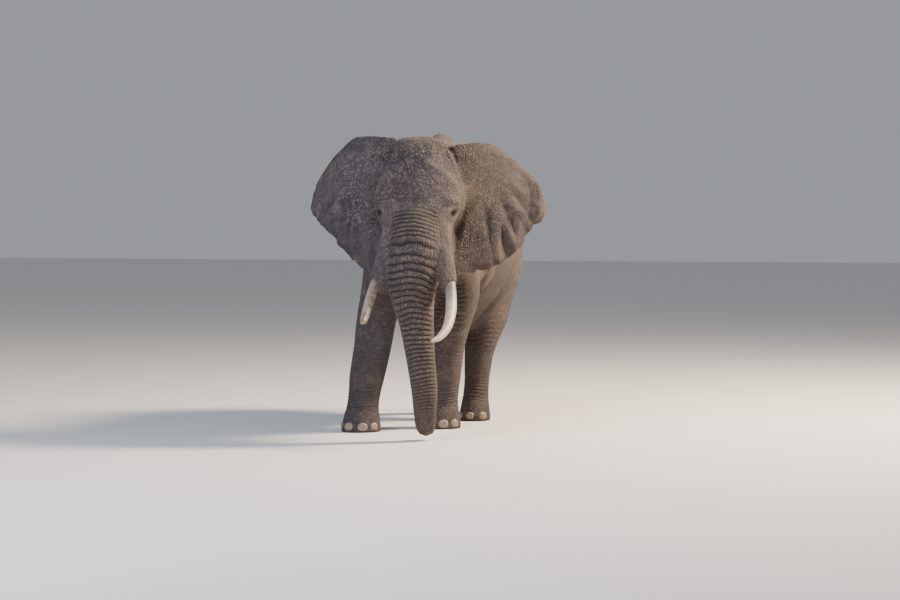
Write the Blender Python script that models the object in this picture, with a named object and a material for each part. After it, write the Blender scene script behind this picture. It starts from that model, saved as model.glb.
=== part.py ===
"""A bull African savanna elephant in mid-stride, as a still, life-size museum figure.

Metres, +Z up. The bull faces -Y, so its left side is +X. It is modelled about the floor
point below its shoulders, and at the end everything is moved so that the origin lies on
the floor below the middle of the whole figure.

The flesh starts as plain masses (lofts and ovals) that are fused, smoothed and thinned to
one closed body. That body is then parted along thin gaps into the pieces a person would
name. Ears, jaw, tail, tusks, eyes and toenails are made on their own and fitted.
"""
import math

import bmesh
import bpy
from mathutils import Matrix, Vector
from mathutils.bvhtree import BVHTree

# Fit and fineness
GAP = 0.0004            # clearance between neighbouring pieces
FUSE_VOXEL = 0.02       # grain at which the masses are fused
FUSE_SMOOTHING = 22     # passes that soften the joins between the masses
BODY_FACES = 2600       # triangles left on the fused body
FACE_FINENESS = 0.8     # below 1 leaves more of them on the face
FACE_REACH = 0.95       # how far from the middle of the face counts as face
RING_POINTS = 28        # points round each loft section

# How the head is carried: it is swung and turned a little to the bull's left
HEAD_X = 0.30
HEAD_Y = -1.05
HEAD_TURN = math.radians(9)
HEAD_LEFT = Vector((math.cos(HEAD_TURN), math.sin(HEAD_TURN), 0))
HEAD_FORWARD = Vector((math.sin(HEAD_TURN), -math.cos(HEAD_TURN), 0))
UP = Vector((0, 0, 1))

# Torso sections: y, x, top, height of the widest place, bottom, half width
BACK_POWER = 1.9        # below 2 draws the section to a ridge
BELLY_POWER = 1.75
TORSO = (
    (-0.62, 0.02, 2.72, 2.15, 1.62, 0.34),
    (-0.38, 0.00, 3.00, 2.12, 1.38, 0.50),
    (-0.05, 0.00, 3.21, 2.05, 1.25, 0.62),
    (0.35, 0.00, 3.29, 1.98, 1.17, 0.72),
    (0.75, 0.00, 3.25, 1.92, 1.07, 0.80),
    (1.15, 0.00, 3.19, 1.90, 1.00, 0.83),
    (1.50, 0.00, 3.22, 1.95, 1.02, 0.80),
    (1.82, -0.01, 3.26, 2.05, 1.14, 0.72),
    (2.15, -0.02, 3.16, 2.10, 1.35, 0.60),
    (2.42, -0.02, 2.92, 2.12, 1.55, 0.44),
    (2.60, -0.02, 2.62, 2.12, 1.75, 0.26),
)

# Neck sections: x, y, z, half width, rise, drop
NECK = (
    (0.00, -0.15, 2.25, 0.58, 0.84, 0.80),
    (0.08, -0.45, 2.38, 0.52, 0.70, 0.72),
    (0.18, -0.72, 2.46, 0.47, 0.62, 0.66),
    (0.27, -0.95, 2.50, 0.44, 0.60, 0.62),
)

# Head sections, level slices: z, back, front, half width (back and front from HEAD_Y)
HEAD_POWER = 2.2
HEAD_WIDEST = -0.06     # how far forward the widest place of each slice lies
HEAD_MIN_REACH = 0.05
HEAD = (
    (3.275, -0.24, -0.06, 0.12),
    (3.24, -0.36, 0.03, 0.25),
    (3.15, -0.46, 0.11, 0.335),
    (3.00, -0.55, 0.19, 0.40),
    (2.82, -0.60, 0.28, 0.455),
    (2.62, -0.60, 0.37, 0.49),
    (2.42, -0.58, 0.42, 0.475),
    (2.22, -0.54, 0.44, 0.40),
    (2.02, -0.48, 0.42, 0.35),
    (1.85, -0.40, 0.38, 0.31),
    (1.70, -0.30, 0.33, 0.26),
)

# Jaw sections along the head: forward, z, half width, rise, drop
JAW = (
    (-0.36, 1.98, 0.28, 0.18, 0.20),
    (-0.20, 1.87, 0.28, 0.20, 0.20),
    (0.00, 1.76, 0.25, 0.19, 0.18),
    (0.18, 1.66, 0.19, 0.16, 0.15),
    (0.30, 1.59, 0.13, 0.11, 0.10),
    (0.38, 1.555, 0.06, 0.05, 0.05),
)

# Trunk sections from the brow to the tip: left, forward, z, half width, half depth
TRUNK = (
    (0.00, 0.20, 2.48, 0.26, 0.20),
    (0.00, 0.30, 2.20, 0.275, 0.25),
    (0.00, 0.37, 1.95, 0.285, 0.26),
    (0.005, 0.41, 1.72, 0.272, 0.245),
    (0.016, 0.43, 1.53, 0.238, 0.225),
    (0.031, 0.44, 1.30, 0.21, 0.20),
    (0.087, 0.43, 0.92, 0.164, 0.16),
    (0.122, 0.40, 0.57, 0.143, 0.138),
    (0.126, 0.37, 0.31, 0.127, 0.118),
    (0.12, 0.33, 0.175, 0.115, 0.105),
    (0.115, 0.25, 0.125, 0.10, 0.085),
    (0.11, 0.18, 0.135, 0.09, 0.07),
)

# Leg sections from the body down: z, x, y, half width, half length
FORE_RIGHT = (
    (2.05, -0.36, -0.10, 0.24, 0.36),
    (1.75, -0.365, -0.11, 0.235, 0.34),
    (1.45, -0.425, -0.09, 0.235, 0.28),
    (1.18, -0.48, -0.10, 0.222, 0.235),
    (0.96, -0.49, -0.17, 0.214, 0.215),
    (0.68, -0.515, -0.27, 0.205, 0.205),
    (0.40, -0.545, -0.33, 0.182, 0.185),
    (0.26, -0.556, -0.36, 0.184, 0.19),
    (0.12, -0.562, -0.385, 0.207, 0.222),
    (0.03, -0.563, -0.39, 0.224, 0.238),
    (-0.03, -0.563, -0.39, 0.218, 0.232),
)
FORE_LEFT = (
    (2.05, 0.42, -0.05, 0.24, 0.36),
    (1.75, 0.45, -0.04, 0.25, 0.34),
    (1.47, 0.425, 0.05, 0.245, 0.28),
    (1.18, 0.335, 0.14, 0.225, 0.235),
    (0.95, 0.265, 0.20, 0.213, 0.215),
    (0.68, 0.225, 0.25, 0.203, 0.205),
    (0.40, 0.20, 0.285, 0.182, 0.185),
    (0.26, 0.19, 0.29, 0.184, 0.19),
    (0.12, 0.185, 0.28, 0.207, 0.222),
    (0.03, 0.185, 0.275, 0.224, 0.238),
    (-0.03, 0.185, 0.275, 0.218, 0.232),
)
HIND_LEFT = (
    (2.30, 0.36, 1.90, 0.32, 0.46),
    (2.00, 0.39, 1.86, 0.34, 0.46),
    (1.70, 0.40, 1.78, 0.32, 0.42),
    (1.40, 0.385, 1.66, 0.27, 0.36),
    (1.15, 0.37, 1.55, 0.25, 0.30),
    (0.92, 0.335, 1.50, 0.195, 0.24),
    (0.72, 0.30, 1.50, 0.162, 0.20),
    (0.48, 0.282, 1.50, 0.148, 0.178),
    (0.30, 0.276, 1.47, 0.151, 0.182),
    (0.14, 0.275, 1.43, 0.170, 0.215),
    (0.03, 0.275, 1.42, 0.185, 0.235),
    (-0.03, 0.275, 1.42, 0.18, 0.23),
)
HIND_RIGHT = (
    (2.30, -0.36, 1.92, 0.32, 0.46),
    (2.00, -0.39, 1.92, 0.34, 0.45),
    (1.70, -0.40, 1.88, 0.32, 0.41),
    (1.40, -0.395, 1.84, 0.27, 0.35),
    (1.15, -0.385, 1.84, 0.245, 0.29),
    (0.92, -0.38, 1.90, 0.195, 0.24),
    (0.72, -0.37, 1.99, 0.162, 0.205),
    (0.48, -0.36, 2.11, 0.148, 0.18),
    (0.30, -0.355, 2.16, 0.151, 0.185),
    (0.14, -0.355, 2.15, 0.170, 0.215),
    (0.03, -0.355, 2.14, 0.185, 0.235),
    (-0.03, -0.355, 2.14, 0.18, 0.23),
)
LEG_POWER = 2.15

# Muscles under the hide: x (each is there on both sides), y, z, radii, lean back
MUSCLES = (
    (0.38, 0.12, 2.32, (0.27, 0.36, 0.72), math.radians(-16)),
    (0.36, 1.88, 2.30, (0.32, 0.46, 0.62), 0.0),
)
LEFT_HUMP = (Vector((0.18, 0.30, 3.01)), (0.19, 0.40, 0.335))

# Brows and cheeks: left (each is there on both sides), forward, z, radii
FACE_MASSES = (
    (0.345, 0.15, 2.57, (0.115, 0.15, 0.10)),
    (0.29, -0.06, 2.20, (0.12, 0.24, 0.38)),
)

# Where the body is parted
FORE_CUP_TOP = 2.15     # top of the rounded seam round each shoulder
HIND_CUP_TOP = 2.25     # top of the rounded seam round each haunch
CUP_FOOT = 1.10         # height where the seam starts to round over
CUP_MARGIN = 0.09       # how far a leg's seam stands off the lower leg
CUP_OUT = 0.80          # how far out the seam's top lies
CUP_HALF_WIDTH = 0.33
CUP_LEVELS = (-0.2, 0.15, 0.45, 0.80, CUP_FOOT)
CUP_STEPS = 5
CUP_CLIMB = 0.985       # the arch stops just short of a point
CUP_POINTS = 12
ANKLE_HEIGHT = 0.30
NECK_CUT = (Vector((0.06, -0.42, 2.35)), Vector((0.2, -0.95, 0.2)))
HEAD_CUT = (-0.42, 2.5, 0.15)       # forward, z, and how far the cut looks up
TRUNK_CUTS = (1.57, 1.08, 0.58)
BODY_BLOCK = 5.0                    # size of the blocks that part neck and head
TRUNK_BLOCK = (1.2, 3.0)            # half width and depth of those for the trunk

# The sheath each tusk grows from: left (mirrored for the right one), forward, z, radius
SHEATH = (
    (0.24, 0.08, 2.46, 0.12),
    (0.28, 0.24, 2.18, 0.112),
    (0.325, 0.37, 1.95, 0.104),
    (0.37, 0.455, 1.78, 0.092),
    (0.398, 0.505, 1.685, 0.082),
)

# Tusks: left (mirrored for the right one), forward, z, radius
TUSK_LEFT = (
    (0.300, 0.28, 2.02, 0.055),
    (0.350, 0.40, 1.85, 0.062),
    (0.394, 0.50, 1.69, 0.061),
    (0.422, 0.63, 1.50, 0.060),
    (0.426, 0.76, 1.36, 0.056),
    (0.402, 0.92, 1.235, 0.048),
    (0.350, 1.06, 1.155, 0.037),
    (0.296, 1.15, 1.125, 0.022),
    (0.276, 1.18, 1.120, 0.009),
)
TUSK_RIGHT = (
    (0.300, 0.28, 2.02, 0.055),
    (0.350, 0.40, 1.86, 0.062),
    (0.396, 0.50, 1.715, 0.061),
    (0.425, 0.61, 1.58, 0.061),
    (0.447, 0.73, 1.44, 0.060),
    (0.463, 0.84, 1.33, 0.056),
    (0.470, 0.91, 1.285, 0.046),
    (0.473, 0.94, 1.268, 0.024),
)
TUSK_SIDES = 12

# Ears, from the seat on the head: reach outwards, height, top to bottom of the rim
EAR_LEFT_RIM = (
    (0.00, 3.17), (0.30, 3.21), (0.53, 3.20), (0.77, 3.05), (1.00, 2.86), (1.13, 2.67),
    (1.175, 2.50), (1.12, 2.35), (1.00, 2.27), (0.94, 2.13), (0.76, 1.975), (0.60, 1.875),
    (0.38, 1.80), (0.16, 1.785), (0.02, 1.72),
)
EAR_RIGHT_RIM = (
    (0.00, 3.20), (0.26, 3.28), (0.58, 3.285), (0.72, 3.22), (0.88, 3.09), (1.05, 2.88),
    (1.25, 2.66), (1.34, 2.51), (1.25, 2.42), (0.98, 2.29), (0.81, 2.18), (0.57, 2.01),
    (0.41, 1.89), (0.25, 1.80), (0.02, 1.73),
)
EAR_SEAT = (            # z, left, forward, along the side of the head
    (3.15, 0.29, -0.20),
    (2.80, 0.40, -0.16),
    (2.45, 0.43, -0.12),
    (2.15, 0.37, -0.05),
    (1.90, 0.35, 0.02),
    (1.70, 0.36, 0.05),
)
EAR_SEAT_TOP = 3.13
EAR_SEAT_BOTTOM = 1.76
EAR_REACH = 1.15
EAR_SWEEP_ROOT = math.radians(22)   # how far the ear points back where it leaves the head
EAR_SWEEP_RIM = math.radians(60)    # and at its outer rim
EAR_MIDDLE = (-0.25, 2.55)          # reach and height that the folds run out from
EAR_FOLD = 0.030                    # depth of the broad folds at the rim
EAR_FOLDS_ROUND = 7.5
EAR_LOBE_TOP = 2.3                  # below this the lobe hangs in waves
EAR_WAVE = 0.024
EAR_WAVES_OUT = 17
EAR_TURN_HEIGHT = 3.02              # above this the rim turns back
EAR_TURN = 0.10
EAR_ROLL = 0.015                    # how far the outer rim rolls back
EAR_ROOT_THICKNESS = 0.046
EAR_RIM_THICKNESS = 0.022
EAR_COLUMNS = 5
EAR_ROWS = 16

# Eyes
EYE_RADIUS = 0.020
EYE_HEIGHT = 2.452
EYE_APART = 0.81
EYE_LOOK = math.radians(58)         # how far each eye looks aside from straight ahead
EYE_PROUD = 0.006
CLEAR_OF_FACE = 1.0                 # a forward distance that is ahead of the whole face

# Toenails
NAIL_SIZE = (0.056, 0.030, 0.048)   # half width, half thickness, half height
NAIL_HEIGHT = 0.064
NAIL_SUNK = 0.012
CLEAR_OF_FOOT = 0.6                 # a distance from a foot's middle that is outside it
FORE_NAIL_ANGLES = (-60, -21, 21, 60)
HIND_NAIL_ANGLES = (-42, 0, 42)

# Tail, hanging: x, y, z, radius
TAIL = (
    (-0.02, 2.44, 2.66, 0.085),
    (-0.02, 2.66, 2.55, 0.075),
    (-0.02, 2.76, 2.32, 0.055),
    (0.00, 2.77, 1.95, 0.040),
    (0.03, 2.74, 1.50, 0.029),
    (0.05, 2.72, 1.10, 0.022),
    (0.06, 2.72, 0.98, 0.018),
)
TUFT = (
    (0.06, 2.72, 0.978, 0.019),
    (0.063, 2.72, 0.90, 0.034),
    (0.068, 2.725, 0.76, 0.042),
    (0.072, 2.73, 0.62, 0.032),
    (0.075, 2.735, 0.52, 0.010),
)
TAIL_SIDES = 8

# Colours: name, linear colour, roughness
HIDE = ("hide", (0.165, 0.128, 0.108), 0.85)
IVORY = ("ivory", (0.62, 0.52, 0.38), 0.38)
EYE = ("eye", (0.030, 0.016, 0.008), 0.12)
NAIL = ("nail", (0.30, 0.235, 0.17), 0.55)
HAIR = ("tail_hair", (0.018, 0.015, 0.013), 0.60)


# ---------------------------------------------------------------- small tools
def clear_scene():
    for old in list(bpy.data.objects):
        bpy.data.objects.remove(old, do_unlink=True)


def finish_material(spec):
    """The Principled material of one finish, made once."""
    name, colour, roughness = spec
    material = bpy.data.materials.get(name)
    if material is None:
        material = bpy.data.materials.new(name)
        material.use_nodes = True
        shader = material.node_tree.nodes["Principled BSDF"]
        shader.inputs["Base Color"].default_value = (*colour, 1)
        shader.inputs["Roughness"].default_value = roughness
        material.diffuse_color = (*colour, 1)
    return material


def new_object(name, shape, finish=None):
    """An object made of a bmesh, which is used up. Its faces are split the same way each
    time, so that a piece and its swollen copy bend along the same lines."""
    bmesh.ops.triangulate(shape, faces=shape.faces[:], quad_method="FIXED")
    mesh = bpy.data.meshes.new(name)
    shape.to_mesh(mesh)
    shape.free()
    thing = bpy.data.objects.new(name, mesh)
    bpy.context.collection.objects.link(thing)
    if finish is not None:
        set_finish(thing, finish)
    return thing


def set_finish(thing, finish):
    thing.data.materials.clear()
    thing.data.materials.append(finish_material(finish))


def drop(thing):
    bpy.data.objects.remove(thing, do_unlink=True)


def baked(thing):
    """Replace an object's mesh by what its modifiers make of it."""
    depsgraph = bpy.context.evaluated_depsgraph_get()
    result = bpy.data.meshes.new_from_object(thing.evaluated_get(depsgraph))
    thing.modifiers.clear()
    thing.data = result
    return thing


def combine(thing, tool, operation):
    """Apply an exact Boolean of tool to thing."""
    cut = thing.modifiers.new(operation.title(), "BOOLEAN")
    cut.operation = operation
    cut.solver = "EXACT"
    cut.object = tool
    return baked(thing)


def duplicate(thing, name):
    copy = bpy.data.objects.new(name, thing.data.copy())
    bpy.context.collection.objects.link(copy)
    return copy


def grown(thing, amount, name="grown"):
    """A copy of an object swollen along its normals."""
    copy = duplicate(thing, name)
    shape = bmesh.new()
    shape.from_mesh(copy.data)
    shape.normal_update()
    moves = [vertex.normal * amount for vertex in shape.verts]
    for vertex, move in zip(shape.verts, moves):
        vertex.co += move
    shape.to_mesh(copy.data)
    shape.free()
    return copy


def eased(before, here, after, beyond, t):
    """Catmull-Rom value between here and after."""
    return 0.5 * (2 * here + (after - before) * t
                  + (2 * before - 5 * here + 4 * after - beyond) * t * t
                  + (3 * here - before - 3 * after + beyond) * t * t * t)


def smooth_rows(rows, steps):
    """The rows of a table with eased rows in between, steps to each pair."""
    last = len(rows) - 1
    result = []
    for index in range(last):
        four = (rows[max(index - 1, 0)], rows[index], rows[index + 1], rows[min(index + 2, last)])
        for step in range(steps):
            result.append([eased(*values, step / steps) for values in zip(*four)])
    result.append(list(rows[last]))
    return result


def read_row(rows, key):
    """Values of a table at a key in its falling first column, in straight steps."""
    if key >= rows[0][0]:
        return rows[0][1:]
    for upper, lower in zip(rows, rows[1:]):
        if key >= lower[0]:
            share = (upper[0] - key) / (upper[0] - lower[0])
            return [a + (b - a) * share for a, b in zip(upper[1:], lower[1:])]
    return rows[-1][1:]


def signed_power(value, power):
    return math.copysign(abs(value) ** power, value)


def oval(centre, side, up, half_width, rise, drop_, rise_power=2.0, drop_power=2.0,
         count=RING_POINTS):
    """Points of a superellipse whose upper and lower halves have their own reach."""
    points = []
    for index in range(count):
        angle = math.tau * index / count
        across, along = math.cos(angle), math.sin(angle)
        power = 2 / (rise_power if along >= 0 else drop_power)
        reach = rise if along >= 0 else drop_
        points.append(centre + side * (half_width * signed_power(across, power))
                      + up * (reach * signed_power(along, power)))
    return points


def add_loft(shape, rings):
    """Add a closed skin over rings of equal count to a bmesh."""
    grid = [[shape.verts.new(point) for point in ring] for ring in rings]
    count = len(grid[0])
    faces = [shape.faces.new(grid[0]), shape.faces.new(grid[-1])]
    for ring, following in zip(grid, grid[1:]):
        for index in range(count):
            after = (index + 1) % count
            faces.append(shape.faces.new(
                (ring[index], ring[after], following[after], following[index])))
    bmesh.ops.recalc_face_normals(shape, faces=faces)


def add_oval_mass(shape, centre, radii, turn=Matrix()):
    """Add an ellipsoid to a bmesh."""
    place = Matrix.Translation(centre) @ turn @ Matrix.Diagonal((*radii, 1))
    bmesh.ops.create_icosphere(shape, subdivisions=4, radius=1, matrix=place)


def head_point(left, forward, height):
    """A place on the head, from its own left and forward distances."""
    floor_point = Vector((HEAD_X, HEAD_Y, 0)) + HEAD_LEFT * left + HEAD_FORWARD * forward
    return floor_point + UP * height


def path_rings(points, radii, side_hint, count):
    """Rings square to a path; radii are (across, deep) pairs."""
    rings = []
    last = len(points) - 1
    for index, point in enumerate(points):
        along = (points[min(index + 1, last)] - points[max(index - 1, 0)]).normalized()
        deep = along.cross(side_hint).normalized()
        across = deep.cross(along).normalized()
        wide, thick = radii[index]
        rings.append(oval(point, across, deep, wide, thick, thick, count=count))
    return rings


# ---------------------------------------------------------------- the fused body
def add_torso(shape):
    rings = []
    for y, x, top, widest, bottom, half_width in smooth_rows(TORSO, 3):
        rings.append(oval(Vector((x, y, widest)), Vector((1, 0, 0)), UP, half_width,
                          top - widest, widest - bottom, BACK_POWER, BELLY_POWER))
    add_loft(shape, rings)


def add_neck(shape):
    rings = []
    for x, y, z, half_width, rise, drop_ in smooth_rows(NECK, 3):
        rings.append(oval(Vector((x, y, z)), Vector((1, 0.2, 0)).normalized(), UP,
                          half_width, rise, drop_, 2.0, 1.8))
    add_loft(shape, rings)


def add_head(shape):
    rings = []
    for z, back, front, half_width in smooth_rows(HEAD, 3):
        middle = max(min(HEAD_WIDEST, front - HEAD_MIN_REACH), back + HEAD_MIN_REACH)
        rings.append(oval(head_point(0, middle, z), HEAD_LEFT, HEAD_FORWARD, half_width,
                          front - middle, middle - back, HEAD_POWER, HEAD_POWER))
    add_loft(shape, rings)


def add_face(shape):
    """Brows, cheeks and the sheaths that the tusks grow from."""
    turn = Matrix.Rotation(HEAD_TURN, 4, "Z")
    for side in (1, -1):
        for left, forward, z, radii in FACE_MASSES:
            add_oval_mass(shape, head_point(side * left, forward, z), radii, turn)
        rows = smooth_rows(SHEATH, 4)
        points = [head_point(side * row[0], row[1], row[2]) for row in rows]
        radii = [(row[3], row[3]) for row in rows]
        add_loft(shape, path_rings(points, radii, HEAD_LEFT, RING_POINTS))


def add_trunk(shape):
    rows = smooth_rows(TRUNK, 4)
    points = [head_point(row[0], row[1], row[2]) for row in rows]
    radii = [(row[3], row[4]) for row in rows]
    add_loft(shape, path_rings(points, radii, HEAD_LEFT, RING_POINTS))


def add_leg(shape, rows):
    rings = []
    for z, x, y, half_width, half_length in smooth_rows(rows, 3):
        rings.append(oval(Vector((x, y, z)), Vector((1, 0, 0)), Vector((0, 1, 0)), half_width,
                          half_length, half_length, LEG_POWER, LEG_POWER))
    add_loft(shape, rings)


def add_muscles(shape):
    """Shoulder blades, the hump that the left one pushes up, and the haunches."""
    for side in (1, -1):
        for x, y, z, radii, lean in MUSCLES:
            turn = Matrix.Rotation(lean, 4, "X")
            add_oval_mass(shape, Vector((side * x, y, z)), radii, turn)
    add_oval_mass(shape, *LEFT_HUMP)


def fused_body():
    shape = bmesh.new()
    add_torso(shape)
    add_neck(shape)
    add_head(shape)
    add_face(shape)
    add_trunk(shape)
    add_muscles(shape)
    for rows in (FORE_RIGHT, FORE_LEFT, HIND_LEFT, HIND_RIGHT):
        add_leg(shape, rows)
    body = new_object("torso", shape, HIDE)
    fuse = body.modifiers.new("Fuse", "REMESH")
    fuse.mode = "VOXEL"
    fuse.voxel_size = FUSE_VOXEL
    baked(body)
    keep_fine(body)
    soften = body.modifiers.new("Soften", "SMOOTH")
    soften.factor = 0.5
    soften.iterations = FUSE_SMOOTHING
    thin = body.modifiers.new("Thin", "DECIMATE")
    thin.ratio = BODY_FACES / (2 * len(body.data.polygons))
    thin.vertex_group = "coarse"
    thin.vertex_group_factor = 1.0
    baked(body)
    body.vertex_groups.clear()
    combine_and_drop(body, slab(-0.5, 0.0), "DIFFERENCE")
    return body


def keep_fine(body):
    """Mark the places that may go coarser, so that the head keeps more triangles."""
    coarse = body.vertex_groups.new(name="coarse")
    middle = head_point(0, 0.35, 2.3)
    for vertex in body.data.vertices:
        away = (vertex.co - middle).length
        coarse.add([vertex.index], 1.0 if away > FACE_REACH else FACE_FINENESS, "REPLACE")


def slab(bottom, top, half_size=4.0):
    """A wide level block, as a cutter."""
    shape = bmesh.new()
    size = Matrix.Diagonal((2 * half_size, 2 * half_size, top - bottom, 1))
    bmesh.ops.create_cube(shape, size=1,
                          matrix=Matrix.Translation((0, 0.8, (top + bottom) / 2)) @ size)
    return new_object("cutter", shape)


def combine_and_drop(thing, tool, operation):
    combine(thing, tool, operation)
    drop(tool)


# ---------------------------------------------------------------- parting the body
def part_off(whole, name, make_tool):
    """Take the share of whole inside a tool off as its own object, with a gap between."""
    piece = duplicate(whole, name)
    combine_and_drop(piece, make_tool(0.0), "INTERSECT")
    combine_and_drop(whole, make_tool(GAP), "DIFFERENCE")
    return piece


def leg_tool(rows, cup_top):
    """A maker of the rounded region that holds one leg with its shoulder or haunch.

    Below CUP_FOOT it stands clear of the leg all round. Above, it draws in to an arch
    from front and back, and moves outwards, so that its inner side leaves the trunk."""
    side = math.copysign(1, rows[0][1])

    def make(extra):
        rings = []
        for z in CUP_LEVELS:
            x, y, half_width, half_length = read_row(rows, z)
            rings.append(leg_ring(x, y, z, half_width + CUP_MARGIN + extra,
                                  half_length + CUP_MARGIN + extra))
        for index in range(1, CUP_STEPS + 1):
            climb = index / CUP_STEPS * CUP_CLIMB
            z = CUP_FOOT + (cup_top - CUP_FOOT) * climb
            y = y + (read_row(rows, z)[1] - y) * 0.5
            middle = x + (side * CUP_OUT - x) * climb
            narrow = math.sqrt(1 - climb ** 2)
            rings.append(leg_ring(middle, y, z + extra, CUP_HALF_WIDTH + extra,
                                  (half_length + CUP_MARGIN) * narrow + extra))
        shape = bmesh.new()
        add_loft(shape, rings)
        return new_object("cutter", shape)
    return make


def leg_ring(x, y, z, half_width, half_length):
    return oval(Vector((x, y, z)), Vector((1, 0, 0)), Vector((0, 1, 0)), half_width,
                half_length, half_length, count=CUP_POINTS)


def block_tool(point, normal, half_size, depth):
    """A maker of the block that lies beyond a plane, on the side its normal points to."""
    def make(extra):
        shape = bmesh.new()
        direction = Vector(normal).normalized()
        turn = direction.to_track_quat("Z", "Y").to_matrix().to_4x4()
        middle = Vector(point) + direction * (depth / 2 - extra)
        size = Matrix.Diagonal((2 * half_size, 2 * half_size, depth, 1))
        bmesh.ops.create_cube(shape, size=1, matrix=Matrix.Translation(middle) @ turn @ size)
        return new_object("cutter", shape)
    return make


def trunk_cut(height):
    """Point on the trunk at a height, with the direction the trunk runs there."""
    rows = smooth_rows(TRUNK, 4)
    points = [head_point(row[0], row[1], row[2]) for row in rows]
    for before, after in zip(points, points[1:]):
        if before.z >= height > after.z:
            return before, after - before
    return points[-1], UP


def part_body(body):
    """Legs with feet, then trunk, head and neck, leaving the torso."""
    pieces = []
    legs = (("leg_front_right", FORE_RIGHT, FORE_CUP_TOP),
            ("leg_front_left", FORE_LEFT, FORE_CUP_TOP),
            ("leg_hind_left", HIND_LEFT, HIND_CUP_TOP),
            ("leg_hind_right", HIND_RIGHT, HIND_CUP_TOP))
    for name, rows, cup_top in legs:
        leg = part_off(body, name, leg_tool(rows, cup_top))
        foot_name = name.replace("leg", "foot")
        foot = part_off(leg, foot_name, block_tool((0, 1, ANKLE_HEIGHT), (0, 0, -1), 4, 1))
        pieces += [leg, foot]
    neck = part_off(body, "neck", block_tool(*NECK_CUT, BODY_BLOCK, BODY_BLOCK))
    forward, z, look_up = HEAD_CUT
    head_cut = (head_point(0, forward, z), HEAD_FORWARD + UP * look_up)
    head = part_off(neck, "head", block_tool(*head_cut, BODY_BLOCK, BODY_BLOCK))
    pieces += [body, neck, head]
    for name, height in zip(("trunk_upper", "trunk_middle", "trunk_lower"), TRUNK_CUTS):
        length = part_off(pieces[-1], name, block_tool(*trunk_cut(height), *TRUNK_BLOCK))
        pieces.append(length)
    return {piece.name: piece for piece in pieces}


# ---------------------------------------------------------------- fitted pieces
def ear_place(reach, height, side):
    """Point and outward-facing normal of an ear's middle layer."""
    seat_left, seat_forward = read_row(EAR_SEAT, height)
    bend = (EAR_SWEEP_RIM - EAR_SWEEP_ROOT) / EAR_REACH
    sweep = EAR_SWEEP_ROOT + bend * reach
    left = seat_left + (math.sin(sweep) - math.sin(EAR_SWEEP_ROOT)) / bend
    forward = seat_forward - (math.cos(EAR_SWEEP_ROOT) - math.cos(sweep)) / bend
    normal = HEAD_LEFT * (side * math.sin(sweep)) + HEAD_FORWARD * math.cos(sweep)
    return head_point(side * left, forward, height), normal


def ear_swell(reach, height, side):
    """How far the ear's layer stands in front of its plain curve: folds and turned rim."""
    out = min(reach / EAR_REACH, 1)
    round_ear = math.atan2(height - EAR_MIDDLE[1], reach - EAR_MIDDLE[0])
    folds = EAR_FOLD * out * math.sin(EAR_FOLDS_ROUND * round_ear + 0.6 * side)
    hang = max(0, EAR_LOBE_TOP - height)
    waves = EAR_WAVE * hang * math.sin(EAR_WAVES_OUT * reach + side)
    turned_back = EAR_TURN * max(0, (height - EAR_TURN_HEIGHT) / 0.25) ** 2
    rolled = EAR_ROLL * max(0, (out - 0.82) / 0.18) ** 2
    return folds + waves - turned_back - rolled


def make_ear(name, side, rim, head):
    rim_points = smooth_rows(rim, 4)
    shape = bmesh.new()
    layers = {1: [], -1: []}
    for row in range(EAR_ROWS + 1):
        share = row / EAR_ROWS
        place = share * (len(rim_points) - 1)
        low = min(int(place), len(rim_points) - 2)
        rim_reach, rim_height = (a + (b - a) * (place - low)
                                 for a, b in zip(rim_points[low], rim_points[low + 1]))
        seat_height = EAR_SEAT_TOP + (EAR_SEAT_BOTTOM - EAR_SEAT_TOP) * share
        lines = {1: [], -1: []}
        for column in range(EAR_COLUMNS + 1):
            out = column / EAR_COLUMNS
            reach = max(rim_reach, 0.03) * out
            height = seat_height + (rim_height - seat_height) * out
            point, normal = ear_place(reach, height, side)
            point += normal * ear_swell(reach, height, side)
            half = (EAR_ROOT_THICKNESS + (EAR_RIM_THICKNESS - EAR_ROOT_THICKNESS) * out) / 2
            for layer in (1, -1):
                lines[layer].append(shape.verts.new(point + normal * (layer * half)))
        for layer in (1, -1):
            layers[layer].append(lines[layer])
    for layer in (1, -1):
        for upper, lower in zip(layers[layer], layers[layer][1:]):
            for a, b, c, d in zip(upper, upper[1:], lower[1:], lower):
                shape.faces.new((a, b, c, d))
    close_rim(shape, layers[1], layers[-1])
    bmesh.ops.recalc_face_normals(shape, faces=shape.faces)
    ear = new_object(name, shape, HIDE)
    combine_and_drop(ear, grown(head, GAP), "DIFFERENCE")
    return keep_largest(ear)


def close_rim(shape, front, back):
    """Join the borders of two equal grids of points."""
    def border(grid):
        return (grid[0][:-1] + [line[-1] for line in grid[:-1]]
                + grid[-1][:0:-1] + [line[0] for line in grid[:0:-1]])
    outer, inner = border(front), border(back)
    count = len(outer)
    for index in range(count):
        after = (index + 1) % count
        shape.faces.new((outer[index], outer[after], inner[after], inner[index]))


def keep_largest(thing):
    """Keep only the largest separate body of an object."""
    shape = bmesh.new()
    shape.from_mesh(thing.data)
    left = set(shape.verts)
    groups = []
    while left:
        todo = [left.pop()]
        group = set(todo)
        while todo:
            for edge in todo.pop().link_edges:
                for vertex in edge.verts:
                    if vertex in left:
                        left.discard(vertex)
                        group.add(vertex)
                        todo.append(vertex)
        groups.append(group)
    groups.sort(key=len)
    crumbs = [vertex for group in groups[:-1] for vertex in group]
    if crumbs:
        bmesh.ops.delete(shape, geom=crumbs, context="VERTS")
        shape.to_mesh(thing.data)
    shape.free()
    return thing


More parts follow.
